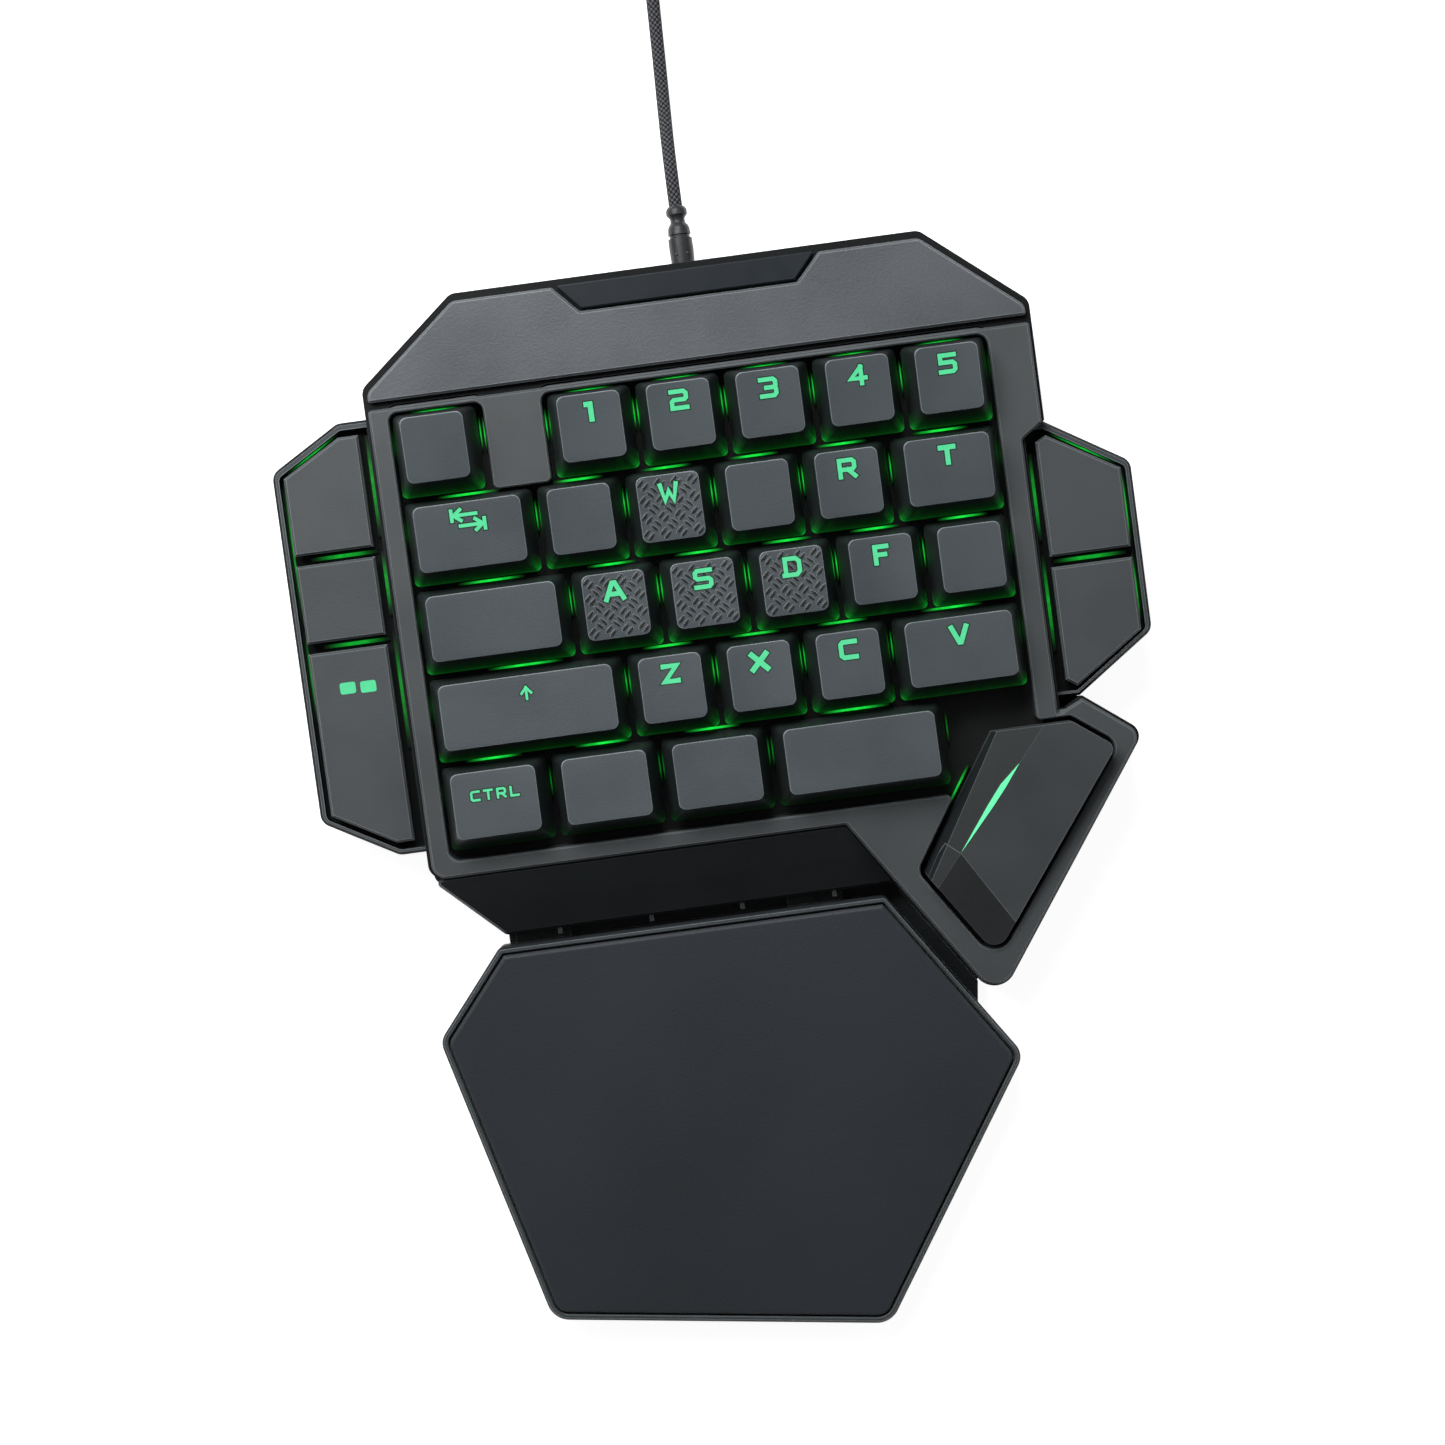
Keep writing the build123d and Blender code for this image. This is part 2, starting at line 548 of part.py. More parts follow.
with BuildPart() as base_shell:
    raise_from(desk.offset(case_bottom), case_outline, parting_line - case_bottom)
    chamfer(base_shell.faces().sort_by(Axis.Z)[0].edges(), 0.6)
    raise_from(desk.offset(floor_top), case_room, 30, mode=Mode.SUBTRACT)
    with BuildSketch(desk.offset(case_bottom)):
        with Locations(*screw_spots):
            RegularPolygon(boss_radius + 0.6, 8)
        for x in hinge_spots.values():
            with Locations((x, hinge_y - foot_reach / 2 + 1)):
                Rectangle(pocket_width + 6, foot_reach + 8)
    extrude(amount=parting_line - case_bottom - 0.4)
    with BuildSketch(desk.offset(case_bottom)):
        for x in hinge_spots.values():
            with Locations((x, hinge_y - foot_reach / 2 + 1)):
                Rectangle(pocket_width, foot_reach + 4)
    extrude(amount=pocket_top - case_bottom, mode=Mode.SUBTRACT)
    with BuildSketch(desk.offset(case_bottom)):
        with Locations(*screw_spots):
            RegularPolygon(head_radius + 0.4, 16)
    extrude(amount=3.2, mode=Mode.SUBTRACT)
    with BuildSketch(desk.offset(case_bottom)):
        with Locations(*screw_spots):
            RegularPolygon(screw_radius, 8)
    extrude(amount=12, mode=Mode.SUBTRACT)
    for x in hinge_spots.values():
        with BuildSketch(Plane.YZ.offset(x - pocket_width / 2 - 1.5)):
            with Locations((row_3_y + hinge_y, hinge_height)):
                RegularPolygon(pin_radius + 0.05, 8, major_radius=False)
        extrude(amount=pocket_width + 3, mode=Mode.SUBTRACT)
    with BuildSketch(desk.offset(tongue_height - 0.2)):
        with Locations(*tongue_spots):
            Rectangle(tongue_width + 0.4, 8)
    extrude(amount=tongue_thickness + 0.4, mode=Mode.SUBTRACT)
    with BuildSketch(Plane.XZ.offset(-90)):
        with Locations((cable_x, cable_height)):
            Circle(relief_radius)
    extrude(amount=-40, mode=Mode.SUBTRACT)
save(base_shell.part, "base_shell")

# Tilt feet, folded up into their pockets

def make_tilt_foot(name, x):
    side = Plane.YZ.offset(x - foot_width / 2)
    hinge = (row_3_y + hinge_y, hinge_height)
    with BuildPart() as foot:
        with BuildSketch(side):
            with BuildLine():
                Polyline((hinge[0] + 1.6, hinge[1] - 1.0), (hinge[0] + 1.6, hinge[1] + 1.0),
                         (hinge[0], hinge[1] + 1.9), (hinge[0] - 11, hinge[1] + 0.9),
                         (hinge[0] - foot_reach, hinge[1] + 0.9), (hinge[0] - foot_reach, hinge[1] - 2.3),
                         (hinge[0] - foot_reach + 2.5, hinge[1] - 2.3), (hinge[0] - 12, hinge[1] - 1.3),
                         (hinge[0], hinge[1] - 1.9), close=True)
            make_face()
        extrude(amount=foot_width)
        with BuildSketch(side.offset(-1.3)):
            with Locations(hinge):
                Circle(pin_radius)
        extrude(amount=foot_width + 2.6)
    return foot.part


for name, x in hinge_spots.items():
    save(make_tilt_foot(name, x), name)

# Rubber feet and screws of the case

pad_size = (13.0, 6.5)


def rubber_pads(spots):
    with BuildPart() as pads:
        with BuildSketch():
            with Locations(*[desk.from_local_coords((x, y, 0)) for x, y in spots]):
                Rectangle(*pad_size)
        extrude(amount=case_bottom)
        chamfer(pads.edges().filter_by(Axis.Z), 1.0)
        chamfer(pads.faces().filter_by(Axis.Z).group_by(Axis.Z)[0].edges(), 0.4)
    return pads.part


foot_spots = [(-62.0, 36.0), (66.0, 36.0), (-60.0, -46.0), (17.0, -58.0), (57.0, -66.0)]
save(rubber_pads(foot_spots), "rubber_feet")

with BuildPart() as case_screws:
    with BuildSketch(desk.offset(case_bottom + 0.9)):
        with Locations(*screw_spots):
            RegularPolygon(head_radius, 16)
    extrude(amount=3.2 - 0.9)
    with BuildSketch(desk.offset(case_bottom + 3.2)):
        with Locations(*screw_spots):
            RegularPolygon(screw_radius, 8)
    extrude(amount=parting_line + screw_length - case_bottom - 3.7)
save(case_screws.part, "case_screws")

# Wrist rest: a base with two tongues and a lip below them, its cover, and its own rubber feet

with BuildPart() as wrist_rest_base:
    raise_from(desk.offset(case_bottom), rest_outline, 30)
    split(bisect_by=board.offset(rest_rim), keep=Keep.BOTTOM)
    chamfer(wrist_rest_base.faces().sort_by(up)[-1].edges(), 0.5)
    chamfer(wrist_rest_base.faces().sort_by(Axis.Z)[0].edges(), 1.0)
    raise_from(board.offset(rest_rim - 1.6), rest_outline, 10, grow=-1.3, mode=Mode.SUBTRACT)
    raise_from(desk.offset(under_lip[0]), lip_outline, tongue_height - under_lip[0])
    raise_from(desk.offset(under_lip[0]), under_lip_outline, under_lip[1] - under_lip[0])
    with BuildSketch(desk.offset(tongue_height)):
        with Locations(*[(x, y - 2.5 + tongue_reach / 2) for x, y in tongue_spots]):
            Rectangle(tongue_width, tongue_reach + 1)
    extrude(amount=tongue_thickness)
save(wrist_rest_base.part, "wrist_rest_base")

with BuildPart() as wrist_rest_cover:
    raise_from(board.offset(rest_rim - 1.6), rest_outline, rest_top - rest_rim + 1.6, grow=-1.75)
    fillet(wrist_rest_cover.faces().sort_by(up)[-1].edges(), 0.8)
save(wrist_rest_cover.part, "wrist_rest_cover")

rest_foot_spots = [(-56.0, -88.0), (34.0, -104.0), (-30.0, -148.0)]
save(rubber_pads(rest_foot_spots), "wrist_rest_feet")

# Cable: strain relief, free run, coil with its tail, tie and plug

cable_diameter = 3.0
run_points = [
    (2.1, 131.0, 9.0), (2.1, 136.5, 9.0), (2.2, 145.0, 6.4), (2.5, 154.5, 2.8), (2.9, 166.0, 1.9),
    (3.3, 180.0, 1.9), (3.8, 192.0, 1.9), (3.8, 199.0, 1.9),
]
outer_turn = 22.5
coil_middle = (run_points[-1][0] + outer_turn, run_points[-1][1] + cable_diameter)
turn_gap = 0.45
turn_pitch = cable_diameter + turn_gap
layers = 4
turns_per_layer = 3.25
wound_turns = layers * turns_per_layer
inner_turn = outer_turn - turn_pitch * turns_per_layer
tail_reach = 10.6           # how far the tail swings out past the coil
plug_height = 4.0
relief_profile = [
    (0, 112.0), (flange_radius, 112.0), (flange_radius, 114.0), (2.55, 114.0), (2.55, 124.4),
    (2.15, 126.9), (1.65, 127.5), (1.65, 128.5), (2.3, 129.1), (2.3, 130.2), (1.85, 131.0), (0, 131.0),
]

with BuildPart() as strain_relief:
    with BuildSketch(Plane((cable_x, 0, cable_height))):
        Polygon(*relief_profile, align=None)
    revolve(axis=Axis((cable_x, 0, cable_height), (0, 1, 0)))
save(strain_relief.part, "cable_strain_relief")


def run_radii(points):
    """The largest arcs that two neighbouring runs leave room for."""
    radii = []
    for before, corner, after in zip(points, points[1:], points[2:]):
        first, second = Vector(*corner) - Vector(*before), Vector(*after) - Vector(*corner)
        half_turn = radians(first.get_angle(second)) / 2
        radii.append(0.45 * min(first.length, second.length) / tan(half_turn))
    return radii


def sweep_section(path, sides):
    """Sweep a section along a path, and print how its volume compares with the path's length."""
    wire = path.wires()[0]
    with BuildPart() as tube:
        with BuildSketch(Plane(origin=wire @ 0, x_dir=(1, 0, 0), z_dir=wire % 0)) as section:
            RegularPolygon(cable_diameter / 2, sides, rotation=180 / sides)
        sweep(section.sketch, path=wire)
    ratio = tube.part.volume / (section.sketch.area * wire.length)
    print("length", round(wire.length, 1), "volume ratio", round(ratio, 4))
    return tube.part


radii = run_radii(run_points)
print("cable radii", [round(radius, 1) for radius in radii])
with BuildLine() as run_path:
    FilletPolyline(*run_points, radius=radii)
save(sweep_section(run_path, 10), "cable_run")


def ease(share):
    share = min(max(share, 0.0), 1.0)
    return share * share * (3 - 2 * share)


def coil_point(turn):
    """Middle of the wound cable after some turns: inwards and out again, layer on layer."""
    layer = min(int(turn / turns_per_layer), layers - 1)
    wound = min(turn, wound_turns) - layer * turns_per_layer
    radius = outer_turn - turn_pitch * wound if layer % 2 == 0 else inner_turn + turn_pitch * wound
    height = run_points[-1][2]
    for level in range(1, layers):
        height += turn_pitch * ease((turn - level * turns_per_layer) * 2 + 0.5)
    tail = (turn - wound_turns) * 4
    radius += tail_reach * ease(tail)
    height += (plug_height - height) * ease(tail * 1.25 - 0.25)
    angle = pi - 2 * pi * turn
    return Vector(coil_middle[0] + radius * cos(angle), coil_middle[1] + radius * sin(angle), height)


def coil_direction(turn):
    return (coil_point(turn + 0.001) - coil_point(turn - 0.001)).normalized()


def biarc(start, start_way, end, end_way):
    """Two arcs that join two points smoothly in their given directions."""
    chord = end - start
    a = 2 * (1 - start_way.dot(end_way))
    b = 2 * chord.dot(start_way + end_way)
    reach = (sqrt(b * b + 4 * a * chord.dot(chord)) - b) / (2 * a)
    first, second = start + start_way * reach, end - end_way * reach
    middle = (first + second) / 2
    TangentArc(start, middle, tangent=start_way)
    TangentArc(middle, end, tangent=second - first)


turns = [quarter / 4 for quarter in range(int(wound_turns * 4) + 1)]
turns += [wound_turns + 0.125, wound_turns + 0.25]
stations = [coil_point(turn) for turn in turns]
ways = [Vector(0, 1, 0)] + [coil_direction(turn) for turn in turns[1:-1]] + [Vector(1, 0, 0)]
with BuildLine() as coil_path:
    Line(run_points[-1], stations[0])
    for start, start_way, end, end_way in zip(stations, ways, stations[1:], ways[1:]):
        biarc(start, start_way, end, end_way)
    Line(stations[-1], stations[-1] + Vector(cable_diameter, 0, 0))
save(sweep_section(coil_path, 4), "cable_coil")

wire = coil_path.wires()[0]
samples = [wire @ (i / 2600) for i in range(2601)]
step = wire.length / 2600
least = min(
    (samples[i] - samples[j]).length
    for i in range(0, 2601, 2) for j in range(i + int(9 / step), 2601, 2)
    if abs(samples[i].X - samples[j].X) < 4 and abs(samples[i].Y - samples[j].Y) < 4
)
print("least gap in the coil", round(least - cable_diameter, 2))

# Tie round the bundle, and the plug beside the coil

tie_inside = (9.9, 24.15)
tie_top = 13.9
tie_bottom = 0.35
tie_band = 0.5
tie_width = 6.0

with BuildPart() as cable_tie:
    with BuildSketch(Plane.XZ.offset(-coil_middle[1] - tie_width / 2)):
        Polygon(*[(coil_middle[0] + x, z) for x, z in (
            (tie_inside[0] - tie_band, 0), (tie_inside[1] + tie_band, 0),
            (tie_inside[1] + tie_band, tie_top + tie_band), (tie_inside[0] - tie_band, tie_top + tie_band),
        )], align=None)
        Polygon(*[(coil_middle[0] + x, z) for x, z in (
            (tie_inside[0], tie_bottom), (tie_inside[1], tie_bottom),
            (tie_inside[1], tie_top), (tie_inside[0], tie_top),
        )], align=None, mode=Mode.SUBTRACT)
    extrude(amount=tie_width)
save(cable_tie.part, "cable_tie")

grip_size = (24.0, 15.6, 7.8)
shell_size = (18.7, 12.0, 4.5)
shell_wall = 0.4
tongue_size = (17.0, 11.2, 1.8)
plug_start = stations[-1] + Vector(cable_diameter, 0, 0)
grip_end = plug_start + Vector(grip_size[0], 0, 0)
beside = (Align.MIN, Align.CENTER, Align.CENTER)
with BuildPart() as plug_grip:
    with Locations(plug_start):
        Box(*grip_size, align=beside)
    chamfer(plug_grip.edges().filter_by(Axis.X), 1.6)
    chamfer(plug_grip.faces().sort_by(Axis.X)[0].edges(), 1.2)
with BuildPart() as plug_shell:
    with Locations(grip_end):
        Box(*shell_size, align=beside)
        Box(shell_size[0], shell_size[1] - 2 * shell_wall, shell_size[2] - 2 * shell_wall,
            align=beside, mode=Mode.SUBTRACT)
with BuildPart() as plug_tongue:
    with Locations(grip_end + Vector(0, 0, (shell_size[2] - tongue_size[2]) / 2 - shell_wall)):
        Box(*tongue_size, align=beside)
save(Compound(label="usb_plug", children=[plug_grip.part, plug_shell.part, plug_tongue.part]), "usb_plug")
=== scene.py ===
import bmesh
import bpy
import itertools
from math import ceil, cos, exp, pi, radians, sin, sqrt
from mathutils import Matrix, Vector


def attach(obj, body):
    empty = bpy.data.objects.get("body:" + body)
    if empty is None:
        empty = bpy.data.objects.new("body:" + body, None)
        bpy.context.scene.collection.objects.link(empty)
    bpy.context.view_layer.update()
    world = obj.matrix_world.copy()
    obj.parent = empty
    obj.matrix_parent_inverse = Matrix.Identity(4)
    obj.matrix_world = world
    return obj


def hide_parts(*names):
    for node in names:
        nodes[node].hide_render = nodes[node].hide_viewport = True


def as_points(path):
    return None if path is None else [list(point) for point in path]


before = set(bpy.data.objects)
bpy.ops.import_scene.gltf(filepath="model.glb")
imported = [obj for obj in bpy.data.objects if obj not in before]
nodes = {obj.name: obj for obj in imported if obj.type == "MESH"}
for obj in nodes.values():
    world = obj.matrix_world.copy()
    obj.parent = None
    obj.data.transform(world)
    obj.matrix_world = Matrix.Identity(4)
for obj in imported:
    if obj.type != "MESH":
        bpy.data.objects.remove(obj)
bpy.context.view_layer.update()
mm = 0.001

# The sloping switch plate: x along the rows, y to the rear, height above it
board = {
    "middleRow": 45.65,       # y where the plane crosses the middle row, at plateHeight above the desk
    "plateHeight": 16.0,
    "tilt": 3.0,              # degrees, rear up
    "unit": 19.05,            # key pitch
    "gridLeft": -64.75,
}


def onBoard(x, y, height):
    lean = radians(board["tilt"])
    return Vector((
        x,
        board["middleRow"] + y * cos(lean) - height * sin(lean),
        board["plateHeight"] + y * sin(lean) + height * cos(lean),
    )) * mm


def boardFrame(x, y, height):
    matrix = Matrix.Rotation(radians(board["tilt"]), 4, "X")
    matrix.translation = onBoard(x, y, height)
    return matrix


# Nodes and materials

def toLinear(hexColour):
    values = [int(hexColour[i:i + 2], 16) / 255 for i in (1, 3, 5)]
    return tuple(v / 12.92 if v <= 0.04045 else ((v + 0.055) / 1.055) ** 2.4 for v in values) + (1.0,)


def addNode(tree, kind, links=None, **settings):
    node = tree.nodes.new(kind)
    for key, value in settings.items():
        setattr(node, key, value)
    for socket, value in (links or {}).items():
        if isinstance(value, bpy.types.NodeSocket):
            tree.links.new(value, node.inputs[socket])
        else:
            node.inputs[socket].default_value = value
    return node


def newMaterial(name):
    material = bpy.data.materials.new(name)
    material.use_nodes = True
    material.node_tree.nodes.clear()
    return material, material.node_tree


# what a moulded finish has unless its own entry says otherwise; lengths in mm
usualFinish = {
    "grain": 0.5, "roughness": 0.5,
    "cloud": 22,              # size of the flow clouds
    "speckle": 0.35,          # how much of the grain shows as colour
    "edge": 0.25,             # width of the band of painted highlight along the edges
    "bump": 0.35, "depth": 0.35,  # the depth as a share of the grain
    "rub": 0.5,               # how strong the painted highlight along the edges is, towards the tone below
    "paintedEdgeHighlight": "#9ca2a5",
    "smoother": 0.05, "rougher": 0.07,  # how far the grain moves the roughness
    "ior": 1.5, "metallic": 0.0, "specular": 0.5, "sheen": 0.0,
}


def moulded(name, finish):
    # injection-moulded or sprayed surface: spark-eroded grain, faint flow clouds, and a painted highlight
    # along the edges
    look = usualFinish | finish
    material, tree = newMaterial(name)
    place = addNode(tree, "ShaderNodeTexCoord").outputs["Object"]
    grain = addNode(tree, "ShaderNodeTexNoise", {
        "Vector": place, "Scale": 1 / (look["grain"] * mm), "Detail": 2.0, "Roughness": 0.6})
    cloud = addNode(tree, "ShaderNodeTexNoise", {
        "Vector": place, "Scale": 1 / (look["cloud"] * mm), "Detail": 2.0})
    mottle = addNode(tree, "ShaderNodeMapRange", {
        "Value": cloud.outputs["Fac"], "From Min": 0.3, "From Max": 0.7, "To Min": 0.0, "To Max": 1.0})
    speckle = addNode(tree, "ShaderNodeMath", {0: grain.outputs["Fac"], 1: look["speckle"]},
                      operation="MULTIPLY")
    shade = addNode(tree, "ShaderNodeMath", {0: mottle.outputs[0], 1: speckle.outputs[0]}, operation="ADD")
    colour = addNode(tree, "ShaderNodeMix", {
        0: shade.outputs[0], 6: toLinear(look["colour"]), 7: toLinear(look["worn"])}, data_type="RGBA")
    gloss = addNode(tree, "ShaderNodeMapRange", {
        "Value": grain.outputs["Fac"], "From Min": 0.25, "From Max": 0.75,
        "To Min": look["roughness"] - look["smoother"], "To Max": look["roughness"] + look["rougher"]})
    edge = addNode(tree, "ShaderNodeBevel", {"Radius": look["edge"] * mm}, samples=4)
    bump = addNode(tree, "ShaderNodeBump", {
        "Height": grain.outputs["Fac"], "Strength": look["bump"],
        "Distance": look["grain"] * mm * look["depth"]})
    # painted highlight: near the edges the colour is drawn lighter than the faces, as if they caught the
    # light
    flat = addNode(tree, "ShaderNodeNewGeometry").outputs["Normal"]
    along = addNode(tree, "ShaderNodeVectorMath", {0: flat, 1: edge.outputs[0]}, operation="DOT_PRODUCT")
    paintedEdgeHighlight = addNode(tree, "ShaderNodeMapRange", {
        "Value": along.outputs["Value"], "From Min": 0.999, "From Max": 0.95, "To Min": 0.0,
        "To Max": look["rub"]})
    colour = addNode(tree, "ShaderNodeMix", {
        0: paintedEdgeHighlight.outputs[0], 6: colour.outputs[2], 7: toLinear(look["paintedEdgeHighlight"])}, data_type="RGBA")
    shader = addNode(tree, "ShaderNodeBsdfPrincipled", {
        "Base Color": colour.outputs[2], "Roughness": gloss.outputs[0], "Normal": bump.outputs[0],
        "IOR": look["ior"], "Metallic": look["metallic"], "Specular IOR Level": look["specular"],
        "Sheen Weight": look["sheen"], "Sheen Roughness": 0.6})
    addNode(tree, "ShaderNodeOutputMaterial", {"Surface": shader.outputs[0]})
    return material


def lit(name, look):
    # glows green as emission: for the legends, the thumb strip and the diodes this is their own backlight; on
    # the cap walls and the glow strips it is painted light from the diodes. Where it fades, an attribute says
    # how much light gets there
    material, tree = newMaterial(name)
    place = addNode(tree, "ShaderNodeTexCoord").outputs["Object"]
    cloud = addNode(tree, "ShaderNodeTexNoise", {"Vector": place, "Scale": 1 / (look["cloud"] * mm)})
    power = addNode(tree, "ShaderNodeMapRange", {
        "Value": cloud.outputs["Fac"], "From Min": 0.3, "From Max": 0.7,
        "To Min": look["weakest"] * look["strength"], "To Max": look["strongest"] * look["strength"]})
    if look["fades"]:
        reaching = addNode(tree, "ShaderNodeAttribute", attribute_name="glow")
        power = addNode(tree, "ShaderNodeMath", {0: reaching.outputs["Fac"], 1: power.outputs[0]},
                        operation="MULTIPLY")
    shader = addNode(tree, "ShaderNodeBsdfPrincipled", {
        "Base Color": toLinear(look["body"]), "Roughness": look["roughness"],
        "Emission Color": toLinear(look["light"]), "Emission Strength": power.outputs[0]})
    addNode(tree, "ShaderNodeOutputMaterial", {"Surface": shader.outputs[0]})
    return material


# colours are the two ends of the mottling; grain is in mm, coarser than the real 0.05 so that it shows
plastics = {
    # PBT caps, moulded: dry, finely grained, cool dark grey
    "keycapPbt": {"colour": "#444c50", "worn": "#51595d", "grain": 0.42, "speckle": 0.55,
                  "edge": 0.18, "rub": 0.75},
    # ABS side keys, moulded: the same grey, a little smoother
    "sideKeycapAbs": {"colour": "#44494c", "worn": "#515659", "grain": 0.4, "speckle": 0.5, "rub": 0.8},
    # ABS rims of the wings and of the wrist rest: their top faces in a lighter grey than the case, a painted
    # highlight, so they draw a light line
    "rimHighlightAbs": {"colour": "#41474a", "worn": "#4d5356", "grain": 0.3, "roughness": 0.35, "rub": 0.8,
               "paintedEdgeHighlight": "#b1b9bd"},
    # the rounded rim of each cap's top in a light grey: a painted highlight, a fine light line
    "capRimHighlightPbt": {"colour": "#717a7f", "worn": "#818b8f", "grain": 0.3, "roughness": 0.35, "rub": 0.0},
    # PBT bars of the four grip caps: near black, painted shade for how the raised bars look in the light,
    # with a painted highlight on their tops
    "treadPbt": {"colour": "#1a1e1f", "worn": "#262b2c", "grain": 0.3, "roughness": 0.4, "rub": 0.35},
    # POM stems and sliders, moulded: waxy, black
    "keyStemPom": {"colour": "#242528", "worn": "#2c2e31", "roughness": 0.35},
    # ABS thumb key, moulded: satin grey, with a painted highlight on its edges
    "thumbAbs": {"colour": "#474b4e", "worn": "#525658", "grain": 0.4, "roughness": 0.45, "rub": 0.7},
    # its facets on the keys' side: smooth, and a darker grey than the key, painted shade
    "thumbShadedFacetAbs": {"colour": "#212629", "worn": "#252a2c", "grain": 0.4, "roughness": 0.42, "bump": 0.02},
    # spark-eroded ABS insert: matt, darker than the key round it
    "thumbInsertAbs": {"colour": "#252728", "worn": "#2d3031", "grain": 0.45, "roughness": 0.55, "rub": 0.15},
    # metallic lacquer sprayed over ABS: the brightest grey, with a fine sparkle
    "deckLacquer": {"colour": "#52565a", "worn": "#63676b", "roughness": 0.45,
                    "metallic": 0.15, "speckle": 0.6, "rub": 0.9, "paintedEdgeHighlight": "#b1b7bb"},
    # ABS key frame, moulded: satin, neutral grey
    "frameAbs": {"colour": "#464b4d", "worn": "#525759", "grain": 0.36, "roughness": 0.48, "speckle": 0.5,
                 "rub": 0.7},
    # ABS case walls, moulded: near black and almost without gloss
    "caseAbs": {"colour": "#151819", "worn": "#1d1f20", "specular": 0.15, "rub": 0.15},
    # ABS lower case, coarsely spark-eroded: black, rough to the touch
    "baseAbs": {"colour": "#141516", "worn": "#1d1e1f", "grain": 0.7, "roughness": 0.55, "bump": 0.5,
                "rub": 0.15},
    # tinted acrylic badge, cut from sheet: smooth, blue-black
    "badgeAcrylic": {"colour": "#21272c", "worn": "#252b30", "grain": 6.0, "roughness": 0.4, "bump": 0.0,
                     "specular": 0.3, "rub": 0.0},
    # ABS apron, moulded: black, a shade lighter than the case
    "apronAbs": {"colour": "#1a1e20", "worn": "#212628", "rub": 0.15},
    # nylon switch housings, moulded: black
    "housingNylon": {"colour": "#131415", "worn": "#1a1b1d", "roughness": 0.45},
    # powder-coated steel plate: black, lightly pebbled
    "plateSteelCoat": {"colour": "#151819", "worn": "#1e2021", "grain": 0.4},
    # lacquered glass-fibre board: dark green, glossy
    "solderMask": {"colour": "#121a15", "worn": "#19231d", "grain": 0.6, "roughness": 0.3},
    # moulded epoxy chip: matt black
    "chipEpoxy": {"colour": "#161618", "worn": "#1f1f20", "grain": 0.4, "roughness": 0.6},
    # ABS base of the wrist rest, moulded: black, with a painted highlight along its edges
    "restRimAbs": {"colour": "#1e2124", "worn": "#25292b", "rub": 0.9, "paintedEdgeHighlight": "#9ba5a8"},
    # soft-touch silicone skin, sprayed: blue-black, no gloss, a faint sheen at the edges
    "restSoftTouch": {"colour": "#242930", "worn": "#2c3239", "roughness": 0.62,
                      "sheen": 0.12, "cloud": 45, "edge": 0.5, "rub": 0.2},
    # rubber feet, die-cut: dull black
    "footRubber": {"colour": "#191919", "worn": "#212121", "grain": 0.6, "roughness": 0.75},
    # moulded rubber strain relief: dark grey, slightly shiny
    "reliefRubber": {"colour": "#272a2c", "worn": "#34373a", "grain": 0.4, "roughness": 0.38,
                     "specular": 0.4, "rub": 0.1},
    # woven nylon hook-and-loop tape: black and fuzzy
    "tieNylon": {"colour": "#121213", "worn": "#1d1d1f", "grain": 0.3, "roughness": 0.7, "bump": 0.8},
    # PVC plug grip, moulded: black, satin
    "plugPvc": {"colour": "#202123", "worn": "#292a2b", "roughness": 0.4},
    # zinc-plated steel screws: grey metal
    "screwSteel": {"colour": "#606266", "worn": "#737579", "grain": 0.3, "roughness": 0.35,
                   "metallic": 1.0},
    # nickel-plated plug shell: bright metal
    "plugNickel": {"colour": "#b9bbbd", "worn": "#a9abad", "grain": 0.6, "roughness": 0.22,
                   "metallic": 1.0, "bump": 0.05},
    # the line round each legend where the laser has burnt the paint: green-black
    "legendEdge": {"colour": "#0e2a1d", "worn": "#143525", "grain": 0.3, "rub": 0.0},
}
# size of the clouds in mm, and how far they change the light
fading = {"fades": True, "cloud": 1.5, "weakest": 0.75, "strongest": 1.15, "roughness": 0.35}
even = {"fades": False, "cloud": 1.2, "weakest": 0.88, "strongest": 1.05, "roughness": 0.45}
litPlastics = {
    # painted lamp light: glowing strips low between the keys that stand in for the diodes' light in the gaps,
    # bright at their middles and fading to their ends
    "lightGuide": fading | {"body": "#0b140d", "light": "#12b834", "strength": 1.9},
    # PBT walls of the caps: a darker grey than the tops, painted shade where they face each other, with
    # painted green light from the diodes creeping up from below
    "skirtShadeAndGlowPbt": fading | {"body": "#2a3031", "light": "#10a62e", "strength": 1.3},
    # clear plastic of the caps where the laser has laid it bare: milky green, evenly lit
    "legendInk": even | {"body": "#49ba82", "light": "#49ba82", "strength": 0.75},
    # acrylic strip pressed into the thumb key: a paler, brighter green
    "thumbLightPipe": even | {"body": "#5fdc9a", "light": "#5fdc9a", "strength": 1.0},
    # epoxy lenses of the diodes themselves: the only parts that shine hard
    "diodeEpoxy": even | {"body": "#12c832", "light": "#12c832", "strength": 6.0},
}
paint = {name: moulded(name, look) for name, look in plastics.items()}
paint |= {name: lit(name, look) for name, look in litPlastics.items()}

